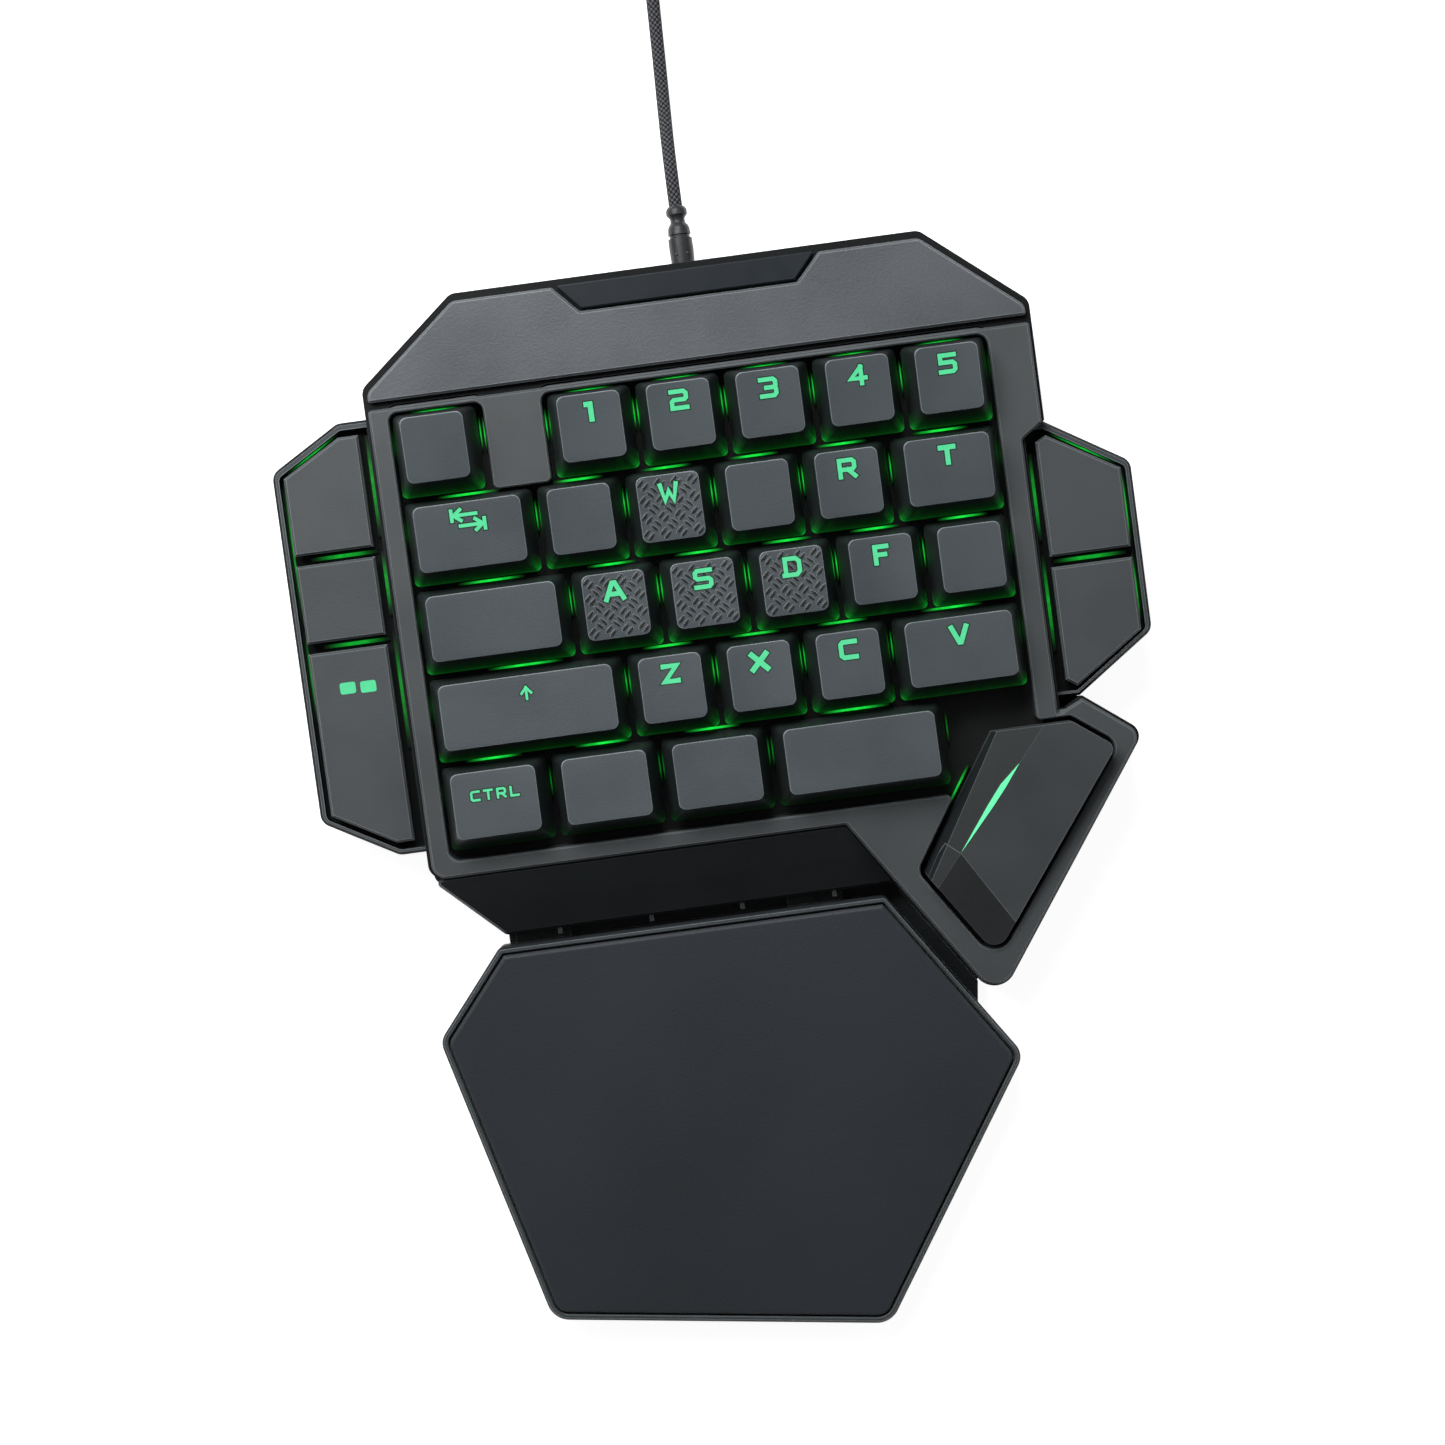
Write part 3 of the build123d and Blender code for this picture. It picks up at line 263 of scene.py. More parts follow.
nodePaint = {
    "thumb_light_strip": "thumbLightPipe",
    "switch_lower_housings": "housingNylon", "switch_upper_housings": "housingNylon",
    "switch_plate": "plateSteelCoat", "circuit_board": "solderMask", "key_lamps": "diodeEpoxy",
    "controller_chip": "chipEpoxy", "side_switches": "housingNylon", "key_frame_plate": "frameAbs",
    "rear_deck_plate": "deckLacquer", "badge_panel": "badgeAcrylic", "upper_case": "caseAbs",
    "front_apron": "apronAbs", "base_shell": "baseAbs", "tilt_foot_left": "baseAbs",
    "tilt_foot_right": "baseAbs", "rubber_feet": "footRubber", "case_screws": "screwSteel",
    "wrist_rest_base": "restRimAbs", "wrist_rest_cover": "restSoftTouch", "wrist_rest_feet": "footRubber",
    "cable_tie": "tieNylon",
}
for nodeName in nodes:
    if nodeName.startswith("side_key"):
        nodePaint[nodeName] = "sideKeycapAbs"
for nodeName, materialName in nodePaint.items():
    nodes[nodeName].data.materials.clear()
    nodes[nodeName].data.materials.append(paint[materialName])
print("materials made:", len(paint))


# Camera, light and floor

studio = {
    "eye": (-2.85, 17.98, 735.0),    # straight above the keypad
    "roll": -7.7,                    # the keypad lies turned in the frame
    "lens": 82.8,
    "worldStrength": 0.07,
    "floorSize": 6,                  # metres
    "floorGlow": 0.9,                # only what the camera and reflections see
    "paperTone": 0.85,
    "aim": (0, 0.02, 0),             # where the lamps point, in metres
    # place, size in metres and watts
    "softboxes": {
        "softboxRear": ((-0.13, 0.36, 0.43), (0.45, 0.28), 3.1),
        "softboxRight": ((0.8, 0.25, 0.8), (0.5, 0.5), 0.5),
        "softboxLeft": ((-0.8, 0.3, 0.8), (0.5, 0.5), 0.75),
    },
}


def makeCamera():
    camera = bpy.data.objects.new("camera", bpy.data.cameras.new("camera"))
    camera.location = Vector(studio["eye"]) * mm
    camera.rotation_euler = (0, 0, radians(studio["roll"]))
    camera.data.lens = studio["lens"]
    camera.data.clip_start = 0.01
    bpy.context.scene.collection.objects.link(camera)
    bpy.context.scene.camera = camera


def makeSoftbox(name, place, size, power):
    lamp = bpy.data.lights.new(name, "AREA")
    lamp.shape = "RECTANGLE"
    lamp.size, lamp.size_y = size
    lamp.energy = power
    box = bpy.data.objects.new(name, lamp)
    box.location = place
    box.rotation_euler = (Vector(studio["aim"]) - Vector(place)).to_track_quat("-Z", "Y").to_euler()
    bpy.context.scene.collection.objects.link(box)


def makeStudio():
    world = bpy.data.worlds.new("studio")
    world.use_nodes = True
    # the camera sees pure white, the object only a dim room
    seen = addNode(world.node_tree, "ShaderNodeLightPath").outputs["Is Camera Ray"]
    level = addNode(world.node_tree, "ShaderNodeMapRange", {
        "Value": seen, "To Min": studio["worldStrength"], "To Max": 1.0})
    sky = world.node_tree.nodes["Background"]
    sky.inputs["Color"].default_value = (1, 1, 1, 1)
    world.node_tree.links.new(level.outputs[0], sky.inputs["Strength"])
    bpy.context.scene.world = world
    for name, (place, size, power) in studio["softboxes"].items():
        makeSoftbox(name, place, size, power)

    bpy.ops.mesh.primitive_plane_add(size=studio["floorSize"], location=(0, 0, 0))
    floor = bpy.context.object
    floor.name = "floor"
    material, tree = newMaterial("paperSweep")
    path = addNode(tree, "ShaderNodeLightPath")
    seen = path.outputs["Is Camera Ray"]
    for ray in ("Is Glossy Ray", "Is Transmission Ray"):
        seen = addNode(tree, "ShaderNodeMath", {0: seen, 1: path.outputs[ray]},
                       operation="ADD", use_clamp=True).outputs[0]
    level = addNode(tree, "ShaderNodeMath", {0: seen, 1: studio["floorGlow"]}, operation="MULTIPLY")
    glow = addNode(tree, "ShaderNodeEmission", {"Strength": level.outputs[0]})
    paper = addNode(tree, "ShaderNodeBsdfDiffuse", {"Color": (*[studio["paperTone"]] * 3, 1)})
    both = addNode(tree, "ShaderNodeAddShader", {0: glow.outputs[0], 1: paper.outputs[0]})
    addNode(tree, "ShaderNodeOutputMaterial", {"Surface": both.outputs[0]})
    floor.data.materials.append(material)


makeCamera()
makeStudio()
bpy.context.scene.view_settings.view_transform = "Standard"
print("camera and studio ready")


# Mesh helpers

def finishPiece(name, build, body, material, replaced=(), slotName=None, smooth=40):
    # edges sharper than smooth, in degrees, stay sharp; 0 leaves all faces flat
    mesh = bpy.data.meshes.new(name)
    bmesh.ops.recalc_face_normals(build, faces=build.faces)
    build.to_mesh(mesh)
    build.free()
    for one in (material if isinstance(material, list) else [material]):
        mesh.materials.append(paint[one])
    mesh.polygons.foreach_set("use_smooth", [smooth > 0] * len(mesh.polygons))
    if smooth > 0:
        mesh.set_sharp_from_angle(angle=radians(smooth))
    piece = bpy.data.objects.new(name, mesh)
    bpy.context.scene.collection.objects.link(piece)
    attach(piece, body)
    if replaced:
        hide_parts(*replaced)
    return piece


def addLoops(build, loops, closeStart=True, materialIndex=0, bands={}):
    # a skin over the loops; bands gives single bands between two loops their own material index
    rings = [[build.verts.new(point) for point in loop] for loop in loops]
    for number, (lower, upper) in enumerate(zip(rings, rings[1:])):
        for i in range(len(lower)):
            j = (i + 1) % len(lower)
            face = build.faces.new((lower[i], lower[j], upper[j], upper[i]))
            face.material_index = bands.get(number, materialIndex)
    for ring in (rings[0], rings[-1]) if closeStart else (rings[-1],):
        middle = build.verts.new(sum((v.co for v in ring), Vector()) / len(ring))
        for i in range(len(ring)):
            face = build.faces.new((ring[i], ring[(i + 1) % len(ring)], middle))
            face.material_index = materialIndex
    return rings


def anglesRound(steps):
    return [2 * pi * k / steps for k in range(steps)]


def roundedRectangle(left, right, front, rear, radius, corner=5, side=6):
    # corner and side: steps in each corner and along each side
    corners = [(right - radius, front + radius, -90), (right - radius, rear - radius, 0),
               (left + radius, rear - radius, 90), (left + radius, front + radius, 180)]
    arcs = []
    for cx, cy, start in corners:
        angles = [radians(start + 90 * i / corner) for i in range(corner + 1)]
        arcs.append([(cx + radius * cos(angle), cy + radius * sin(angle)) for angle in angles])
    points = []
    for number, arc in enumerate(arcs):
        (ax, ay), (bx, by) = arc[-1], arcs[(number + 1) % 4][0]
        points += arc + [(ax + (bx - ax) * i / side, ay + (by - ay) * i / side) for i in range(1, side)]
    return points


def bevelledBox(build, low, high, radius, place=Matrix.Identity(4), materialIndex=0):
    # the rounding in two steps, as height and inset
    near = radius * 0.3
    layers = [(low[2], radius), (low[2] + near, near), (low[2] + radius, 0.0),
              (high[2] - radius, 0.0), (high[2] - near, near), (high[2], radius)]
    loops = []
    for height, inset in layers:
        outline = roundedRectangle(low[0] + inset, high[0] - inset, low[1] + inset, high[1] - inset,
                                   max(radius - inset, 0.02), 3, 1)
        loops.append([place @ (Vector((x, y, height)) * mm) for x, y in outline])
    addLoops(build, loops, materialIndex=materialIndex)


# Shells and plates: the imported solids with their edges truly rounded

# radius of the rounding in mm, and which faces take the lighter rim plastic as a painted highlight:
# between these heights above the switch plate, at least this much turned up, and this far from the middle
shells = {
    "key_frame_plate": {"body": "chassis", "paint": "frameAbs", "slot": "frame_plastic", "radius": 0.35},
    "rear_deck_plate": {"body": "chassis", "paint": "deckLacquer", "slot": "deck_plastic", "radius": 0.3},
    "upper_case": {"body": "chassis", "paint": "caseAbs", "slot": "case_plastic", "radius": 0.0,
                   "highlightBand": (3.9, 4.8, 0.97), "beyond": 68},
    "wrist_rest_base": {"body": "wrist_rest", "paint": "restRimAbs", "slot": "rest_plastic", "radius": 0.3,
                        "highlightBand": (2.7, 3.4, 0.97), "beyond": 0},
}
# angles in degrees; a face looks up when its normal is this near to the plane's
rounding = {"weld": 0.001, "coplanar": 0.5, "leastEdge": 50, "segments": 3, "facingUp": 0.99,
            "upright": 0.02, "sharpAbove": 36}


def boardHeight(point):
    lean = radians(board["tilt"])
    return ((point.z / mm - board["plateHeight"]) * cos(lean)
            - (point.y / mm - board["middleRow"]) * sin(lean))


def copyOf(nodeName):
    source = nodes[nodeName]
    build = bmesh.new()
    build.from_mesh(source.data)
    build.transform(source.matrix_world)
    bmesh.ops.remove_doubles(build, verts=build.verts, dist=rounding["weld"] * mm)
    return build


def dressShell(nodeName, look):
    build = copyOf(nodeName)
    top = Vector((0, -sin(radians(board["tilt"])), cos(radians(board["tilt"]))))
    # without limits, every edge is rounded and no face gets the painted highlight
    low, high, slope = look.get("highlightBand", (-100, 100, 2))

    def isRim(point):
        return low < boardHeight(point) < high and abs(point.x) / mm >= look.get("beyond", 0)
    if look["radius"]:
        bmesh.ops.dissolve_limit(build, angle_limit=radians(rounding["coplanar"]), verts=build.verts,
                                 edges=build.edges)
        rims = [edge for edge in build.edges if len(edge.link_faces) == 2
                and edge.calc_face_angle_signed(0) > radians(rounding["leastEdge"])
                and any(face.normal.dot(top) > rounding["facingUp"] for face in edge.link_faces)
                and all(isRim(vertex.co) for vertex in edge.verts)]
        bmesh.ops.bevel(build, geom=rims, offset=look["radius"] * mm, segments=rounding["segments"],
                        profile=0.5, affect="EDGES", clamp_overlap=False)
    # painted highlight: the rim faces that look up take the lighter rim plastic
    for face in build.faces:
        if isRim(face.calc_center_median()) and face.normal.dot(top) > slope:
            face.material_index = 1
    piece = finishPiece(f"{nodeName}.rounded", build, look["body"], [look["paint"], "rimHighlightAbs"],
                        [nodeName], look["slot"], smooth=rounding["sharpAbove"])
    # only the roundings are shaded smooth, so that the large faces stay plane
    for polygon in piece.data.polygons:
        polygon.use_smooth = rounding["upright"] < abs(polygon.normal.dot(top)) < rounding["facingUp"]


for nodeName, look in shells.items():
    dressShell(nodeName, look)
print("shells rounded:", len(shells))

# Thumb key: the facets turned to the keys take a darker grey, painted shade

# materials and slot of each piece, and the normals of those facets
thumbPieces = {
    "thumb_key": (["thumbAbs", "thumbShadedFacetAbs"], "thumb_plastic"),
    "thumb_key_insert": (["thumbInsertAbs", "thumbShadedFacetAbs"], "thumb_insert"),
}
thumbFacets = {"towardsKeys": -0.1, "facingUp": 0.3, "sharpAbove": 30}


def dressThumb(nodeName, materials, slotName):
    build = copyOf(nodeName)
    # painted shade: facets turned towards the keys take the darker plastic
    for face in build.faces:
        if face.normal.x < thumbFacets["towardsKeys"] and face.normal.z > thumbFacets["facingUp"]:
            face.material_index = 1
    piece = finishPiece(f"{nodeName}.facets", build, "thumb_key", materials, [nodeName], slotName,
                        smooth=thumbFacets["sharpAbove"])
    for polygon in piece.data.polygons:
        polygon.use_smooth = abs(polygon.normal.z) < thumbFacets["facingUp"]


for nodeName, (materials, slotName) in thumbPieces.items():
    dressThumb(nodeName, materials, slotName)
print("thumb key dressed:", len(thumbPieces))


# Cable: one smooth line through the free run, the coil and the tail

cable = {
    "diameter": 3.0,
    "length": 1500.0,
    "run": [
        (2.1, 131.0, 9.0), (2.1, 136.5, 9.0), (2.2, 145.0, 6.4), (2.5, 154.5, 2.8), (2.9, 166.0, 1.9),
        (3.3, 180.0, 1.9), (3.8, 192.0, 1.9), (3.8, 199.0, 1.9),
    ],
    "outerTurn": 22.5,        # radius to the middle of the cable
    "turnGap": 0.45,
    "layers": 4,
    "turnsPerLayer": 3.25,
    "climb": 0.5,             # part of a turn on which it climbs to the next layer
    "tailTurn": 0.25,         # part of a turn on which it swings out to the plug
    "tailReach": 10.6,
    "plugHeight": 4.0,
    "pointsPerTurn": 16,
    "sides": 14,
}
braid = {
    "pitch": 2.4,             # mm along the cable for two diamonds; the real 0.8 is too fine to show
    "repeats": 4,             # the same round the cable
    "fibres": 9,              # in one pitch, so 0.27 mm thick, drawn coarser than real to show
    "gaps": "#060607", "colour": "#6a6c71", "roughness": 0.65, "specular": 0.2, "bump": 0.7, "depth": 0.25,
}


def ease(share):
    share = min(max(share, 0.0), 1.0)
    return share * share * (3 - 2 * share)


def coilPoint(turn):
    # spirals in and out layer by layer, then swings out to the plug
    pitch = cable["diameter"] + cable["turnGap"]
    perLayer, layers = cable["turnsPerLayer"], cable["layers"]
    allTurns = perLayer * layers
    layer = min(int(turn / perLayer), layers - 1)
    wound = min(turn, allTurns) - layer * perLayer
    inner = cable["outerTurn"] - pitch * perLayer
    radius = cable["outerTurn"] - pitch * wound if layer % 2 == 0 else inner + pitch * wound
    height = cable["run"][-1][2] + sum(
        pitch * ease((turn - level * perLayer) / cable["climb"] + 0.5) for level in range(1, layers))
    tail = (turn - allTurns) / cable["tailTurn"]
    radius += cable["tailReach"] * ease(tail)
    # the height follows a little later
    height += (cable["plugHeight"] - height) * ease(tail * 1.25 - 0.25)
    angle = pi - 2 * pi * turn
    middleX = cable["run"][-1][0] + cable["outerTurn"]
    middleY = cable["run"][-1][1] + cable["diameter"]
    return (middleX + radius * cos(angle), middleY + radius * sin(angle), height)


def makeCableLine():
    allTurns = cable["turnsPerLayer"] * cable["layers"] + cable["tailTurn"]
    steps = ceil(allTurns * cable["pointsPerTurn"])
    points = list(cable["run"]) + [coilPoint(allTurns * i / steps) for i in range(steps + 1)]
    end = points[-1]
    points.append((end[0] + cable["diameter"], end[1], end[2]))
    curve = bpy.data.curves.new("cableLine", "CURVE")
    curve.dimensions = "3D"
    spline = curve.splines.new("NURBS")
    spline.points.add(len(points) - 1)
    for point, place in zip(spline.points, points):
        point.co = (*(Vector(place) * mm), 1.0)
    spline.order_u = 3
    spline.use_endpoint_u = True
    spline.resolution_u = 6
    line = bpy.data.objects.new("cableLine", curve)
    bpy.context.scene.collection.objects.link(line)
    bpy.context.view_layer.update()
    mesh = bpy.data.meshes.new_from_object(line.evaluated_get(bpy.context.evaluated_depsgraph_get()))
    path = [v.co.copy() for v in mesh.vertices]
    bpy.data.meshes.remove(mesh)
    bpy.data.objects.remove(line)
    return path


def braidedSleeve():
    # polyester braid, woven: two sets of strands crossing over each other, dull grey with dark gaps
    material, tree = newMaterial("cableBraid")
    uv = addNode(tree, "ShaderNodeUVMap", uv_map="braid").outputs[0]
    split = addNode(tree, "ShaderNodeSeparateXYZ", {0: uv})
    waves = []
    for direction in (1.0, -1.0):
        along = addNode(tree, "ShaderNodeMath", {0: split.outputs["Y"], 1: direction}, operation="MULTIPLY")
        lean = addNode(tree, "ShaderNodeMath", {0: split.outputs["X"], 1: along.outputs[0]}, operation="ADD")
        turned = addNode(tree, "ShaderNodeMath", {0: lean.outputs[0], 1: 2 * pi}, operation="MULTIPLY")
        wave = addNode(tree, "ShaderNodeMath", {0: turned.outputs[0]}, operation="SINE")
        waves.append(addNode(tree, "ShaderNodeMath", {0: wave.outputs[0]}, operation="ABSOLUTE").outputs[0])
    weave = addNode(tree, "ShaderNodeMath", {0: waves[0], 1: waves[1]}, operation="MULTIPLY")
    crisp = addNode(tree, "ShaderNodeMapRange", {
        "Value": weave.outputs[0], "From Min": 0.15, "From Max": 0.5, "To Min": 0.0, "To Max": 1.5})
    fibres = addNode(tree, "ShaderNodeTexNoise", {
        "Vector": uv, "Scale": braid["fibres"], "Detail": 2.0})
    strands = addNode(tree, "ShaderNodeMath", {0: crisp.outputs[0], 1: fibres.outputs["Fac"]},
                      operation="MULTIPLY")
    colour = addNode(tree, "ShaderNodeMix", {
        0: strands.outputs[0], 6: toLinear(braid["gaps"]), 7: toLinear(braid["colour"])}, data_type="RGBA")
    bump = addNode(tree, "ShaderNodeBump", {
        "Height": weave.outputs[0], "Strength": braid["bump"], "Distance": braid["depth"] * mm})
    shader = addNode(tree, "ShaderNodeBsdfPrincipled", {
        "Base Color": colour.outputs[2], "Roughness": braid["roughness"],
        "Specular IOR Level": braid["specular"], "Normal": bump.outputs[0]})
    addNode(tree, "ShaderNodeOutputMaterial", {"Surface": shader.outputs[0]})
    return material


def makeCable():
    path = makeCableLine()
    sides, radius = cable["sides"], cable["diameter"] / 2 * mm
    around = [(cos(angle) * radius, sin(angle) * radius) for angle in anglesRound(sides)]
    build = bmesh.new()
    layer = build.loops.layers.uv.new("braid")
    normal = Vector((0, 0, 1))
    rings, lengths = [], [0.0]
    for i, point in enumerate(path):
        ahead = (path[min(i + 1, len(path) - 1)] - path[max(i - 1, 0)]).normalized()
        normal = (normal - ahead * normal.dot(ahead)).normalized()
        across = ahead.cross(normal)
        rings.append([build.verts.new(point + normal * a + across * b) for a, b in around])
        if i:
            lengths.append(lengths[-1] + (point - path[i - 1]).length)
    for i in range(len(rings) - 1):
        for k in range(sides):
            j = (k + 1) % sides
            face = build.faces.new((rings[i][k], rings[i][j], rings[i + 1][j], rings[i + 1][k]))
            for corner, (ring, step) in zip(face.loops, ((i, k), (i, k + 1), (i + 1, k + 1), (i + 1, k))):
                corner[layer].uv = (braid["repeats"] * step / sides, lengths[ring] / mm / braid["pitch"])
    for ring in (rings[0], rings[-1]):
        build.faces.new(ring)
    paint["cableBraid"] = braidedSleeve()
    piece = finishPiece("braidedCable", build, "chassis", "cableBraid",
                        ["cable_run", "cable_coil"], "cable_sleeve", smooth=60)
    print("cable length in mm:", round(lengths[-1] / mm, 1))
    return piece, path


relief = {
    "x": 2.1, "height": 9.0, "steps": 32,
    # along y from inside the wall, and radius
    "profile": [(112.0, 3.4), (112.3, 3.6), (113.8, 3.6), (114.0, 2.55), (119.0, 2.55), (121.5, 2.66),
                (123.9, 2.6), (124.1, 2.2), (124.6, 2.2), (124.8, 2.5), (126.2, 2.36), (126.8, 2.1),
                (127.2, 1.75), (127.6, 1.6), (128.3, 1.6), (128.8, 1.95), (129.2, 2.3), (130.1, 2.3),
                (130.6, 2.1), (130.9, 1.8), (131.0, 1.7)],
    "pips": ((-1.15, 120.4), (1.15, 120.4)),
    "pipRadius": 0.42, "pipLift": 2.2,
}


def makeStrainRelief():
    build = bmesh.new()
    loops = []
    for along, radius in relief["profile"]:
        loops.append([Vector((relief["x"] + radius * cos(a), along, relief["height"] + radius * sin(a))) * mm
                      for a in anglesRound(relief["steps"])])
    addLoops(build, loops)
    relieved = finishPiece("strainRelief", build, "chassis", "reliefRubber",
                           ["cable_strain_relief"], "relief_rubber", smooth=35)
    build = bmesh.new()
    for side, along in relief["pips"]:
        place = Vector((relief["x"] + side, along, relief["height"] + relief["pipLift"])) * mm
        bmesh.ops.create_uvsphere(build, u_segments=10, v_segments=6, radius=relief["pipRadius"] * mm,
                                  matrix=Matrix.Translation(place))
    pips = finishPiece("reliefPips", build, "chassis", "tieNylon", slotName="relief_rubber")
    return [relieved, pips]


# length, width and thickness of each part
plug = {
    "grip": (24.0, 15.6, 7.8), "shell": (18.7, 12.0, 4.5), "tongue": (17.0, 11.2, 1.8),
    "gripRings": ((0.0, -1.8), (0.5, -1.1), (1.6, -0.5), (4.0, 0.0), (22.6, 0.0), (23.6, -0.3), (24.0, -0.8)),
    "gripCorner": 2.2, "shellCorner": 0.5, "shellWall": 0.4, "shellChamfer": (0.3, 0.15),
    "ribs": 5, "firstRib": 4.5, "ribsApart": 2.0, "ribHalf": (0.5, 5.0, 0.3), "ribSunk": 0.25,
}


def makePlug(start):
    x, y, z = start / mm
    gripLong, shellLong = plug["grip"][0], plug["shell"][0]
    wall, (back, inward) = plug["shellWall"], plug["shellChamfer"]

    def section(part, along, grow, radius, steps):
        width, thick = plug[part][1:]
        outline = roundedRectangle(-width / 2 - grow, width / 2 + grow, -thick / 2 - grow,
                                   thick / 2 + grow, radius, steps, 2)
        return [Vector((x + along, y + a, z + b)) * mm for a, b in outline]

    build = bmesh.new()
    addLoops(build, [section("grip", along, grow, plug["gripCorner"], 4)
                     for along, grow in plug["gripRings"]])
    half = Vector(plug["ribHalf"])
    for rib, side in itertools.product(range(plug["ribs"]), (-1, 1)):
        middle = Vector((x + plug["firstRib"] + rib * plug["ribsApart"], y,
                         z + side * (plug["grip"][2] / 2 - plug["ribSunk"])))
        bevelledBox(build, -half, half, 0.2, Matrix.Translation(middle * mm))
    grip = finishPiece("plugGrip", build, "chassis", "plugPvc", ["usb_plug"], "plug_body")
    build = bmesh.new()
    rings = ((0, 0), (shellLong - back, 0), (shellLong, inward), (shellLong, wall), (0.2, wall))
    addLoops(build, [section("shell", gripLong + along, -inset, plug["shellCorner"] - inset / 2, 3)
                     for along, inset in rings], closeStart=False)
    shell = finishPiece("plugShell", build, "chassis", "plugNickel", slotName="plug_body")
    build = bmesh.new()
    length, width, thick = plug["tongue"]
    lift = (plug["shell"][2] - thick) / 2 - wall
    bevelledBox(build, (0.1, -width / 2, lift - thick / 2), (length, width / 2, lift + thick / 2), 0.3,
                Matrix.Translation(Vector((x + gripLong, y, z)) * mm))
    tongue = finishPiece("plugTongue", build, "chassis", "housingNylon", slotName="plug_body")
    return [grip, shell, tongue]


cord, cordPath = makeCable()
reliefPieces = makeStrainRelief()
plugPieces = makePlug(cordPath[-1])
tuple(Vector(cable["run"][0]) * mm)
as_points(cordPath)
print("cable laid")


# Keycaps

keycap = {
    "gap": 1.05, "skirt": 6.0, "sideLean": 2.25, "frontLean": 2.75, "rearLean": 1.2,
    "dish": 0.5, "dishReach": 0.8, "wall": 1.4, "ceiling": 1.5, "edge": 0.32, "stepsPerUnit": 6,
    "bottomCorner": 1.2, "topCorner": 1.5, "innerCorner": 1.0, "dishCorner": 1.2, "rimInset": 0.25,
    # shares of the height for the loops inside and outside, and of the width for those of the top
    "innerShares": (0.8, 0.02), "wallShares": (0.03, 0.12, 0.35, 0.7, 0.93),
    "topShares": (0.82, 0.6, 0.38, 0.16),
    # inset and drop of the rounded shoulder, as shares of the edge
    "shoulder": ((0.08, 0.5), (0.3, 0.15), (0.6, 0.02), (0.95, 0.0)),
    "height": {1: 9.8, 2: 8.6, 3: 8.0, 4: 8.2, 5: 8.8},
    "tilt": {1: 5.0, 2: 3.0, 3: 0.0, 4: -3.0, 5: -5.0},
    # half width, half depth and height of the boxes, and the height of their feet above the plate
    "slider": (3.6, 2.8, 6.0), "sliderFoot": 1.2,
    "post": ((2.0, 0.6, 3.2), (0.6, 2.0, 3.2)), "postFoot": 7.1,
    "treadCell": 2.5, "treadApart": 1.2, "treadBar": (2.3, 0.74, 0.26), "treadMargin": 0.95, "treadCells": 5,
    "sideMarks": {"places": ((-81.6, -9.3), (-77.2, -9.5)), "size": (3.4, 2.5), "height": 5.64},
    "legendDown": 3.95,       # from the rear edge of the top to the middle of the legend
    "legendLift": 0.09,
    "legendEdge": 0.45,       # how much wider the burnt line is than the ink
    "legendEdgeLift": 0.8,    # as a share of the ink's lift
    "rowGlow": {1: 1.0, 2: 1.0, 3: 1.0, 4: 0.8, 5: 0.12},  # painted lamp light on each row; on the front row it is dimmed
    # painted green light from the diodes below, as emission on the outer loops, most at the front corners
    "creep": {2: 1.0, 3: 1.0, 4: 0.45, 5: 0.16, 6: 0.04},
    "cornerSpread": 0.9, "frontGlow": 0.12, "sideGlow": 0.14, "sideMiddle": 3, "sideSpread": 2.5,
}
capMaterials = ["keycapPbt", "keyStemPom", "treadPbt", "capRimHighlightPbt", "skirtShadeAndGlowPbt"]
capSlot = {name: number for number, name in enumerate(capMaterials)}
# from the rim up, the bands between the loops of a cap are skirt, in painted shade and painted lamp light,
# then the edge of the top, in a painted highlight
capBands = {band: capSlot["skirtShadeAndGlowPbt" if band < 8 else "capRimHighlightPbt"] for band in range(2, 10)}
# row, middle in units from the left, width in units, legend
keys = {
    "esc": (1, 0.5, 1, ""), "1": (1, 2.25, 1, "1"), "2": (1, 3.25, 1, "2"), "3": (1, 4.25, 1, "3"),
    "4": (1, 5.25, 1, "4"), "5": (1, 6.25, 1, "5"), "tab": (2, 0.75, 1.5, "tab"), "q": (2, 2, 1, ""),
    "w": (2, 3, 1, "W"), "e": (2, 4, 1, ""), "r": (2, 5, 1, "R"), "t": (2, 6.125, 1.25, "T"),
    "caps_lock": (3, 0.875, 1.75, ""), "a": (3, 2.25, 1, "A"), "s": (3, 3.25, 1, "S"),
    "d": (3, 4.25, 1, "D"), "f": (3, 5.25, 1, "F"), "g": (3, 6.25, 1, ""),
    "shift": (4, 1.125, 2.25, "up"), "z": (4, 2.75, 1, "Z"), "x": (4, 3.75, 1, "X"), "c": (4, 4.75, 1, "C"),
    "v": (4, 6, 1.5, "V"), "ctrl": (5, 0.625, 1.25, "CTRL"), "system": (5, 1.875, 1.25, ""),
    "alt": (5, 3.125, 1.25, ""), "space": (5, 4.75, 2, ""),
}
treaded = ("w", "a", "s", "d")
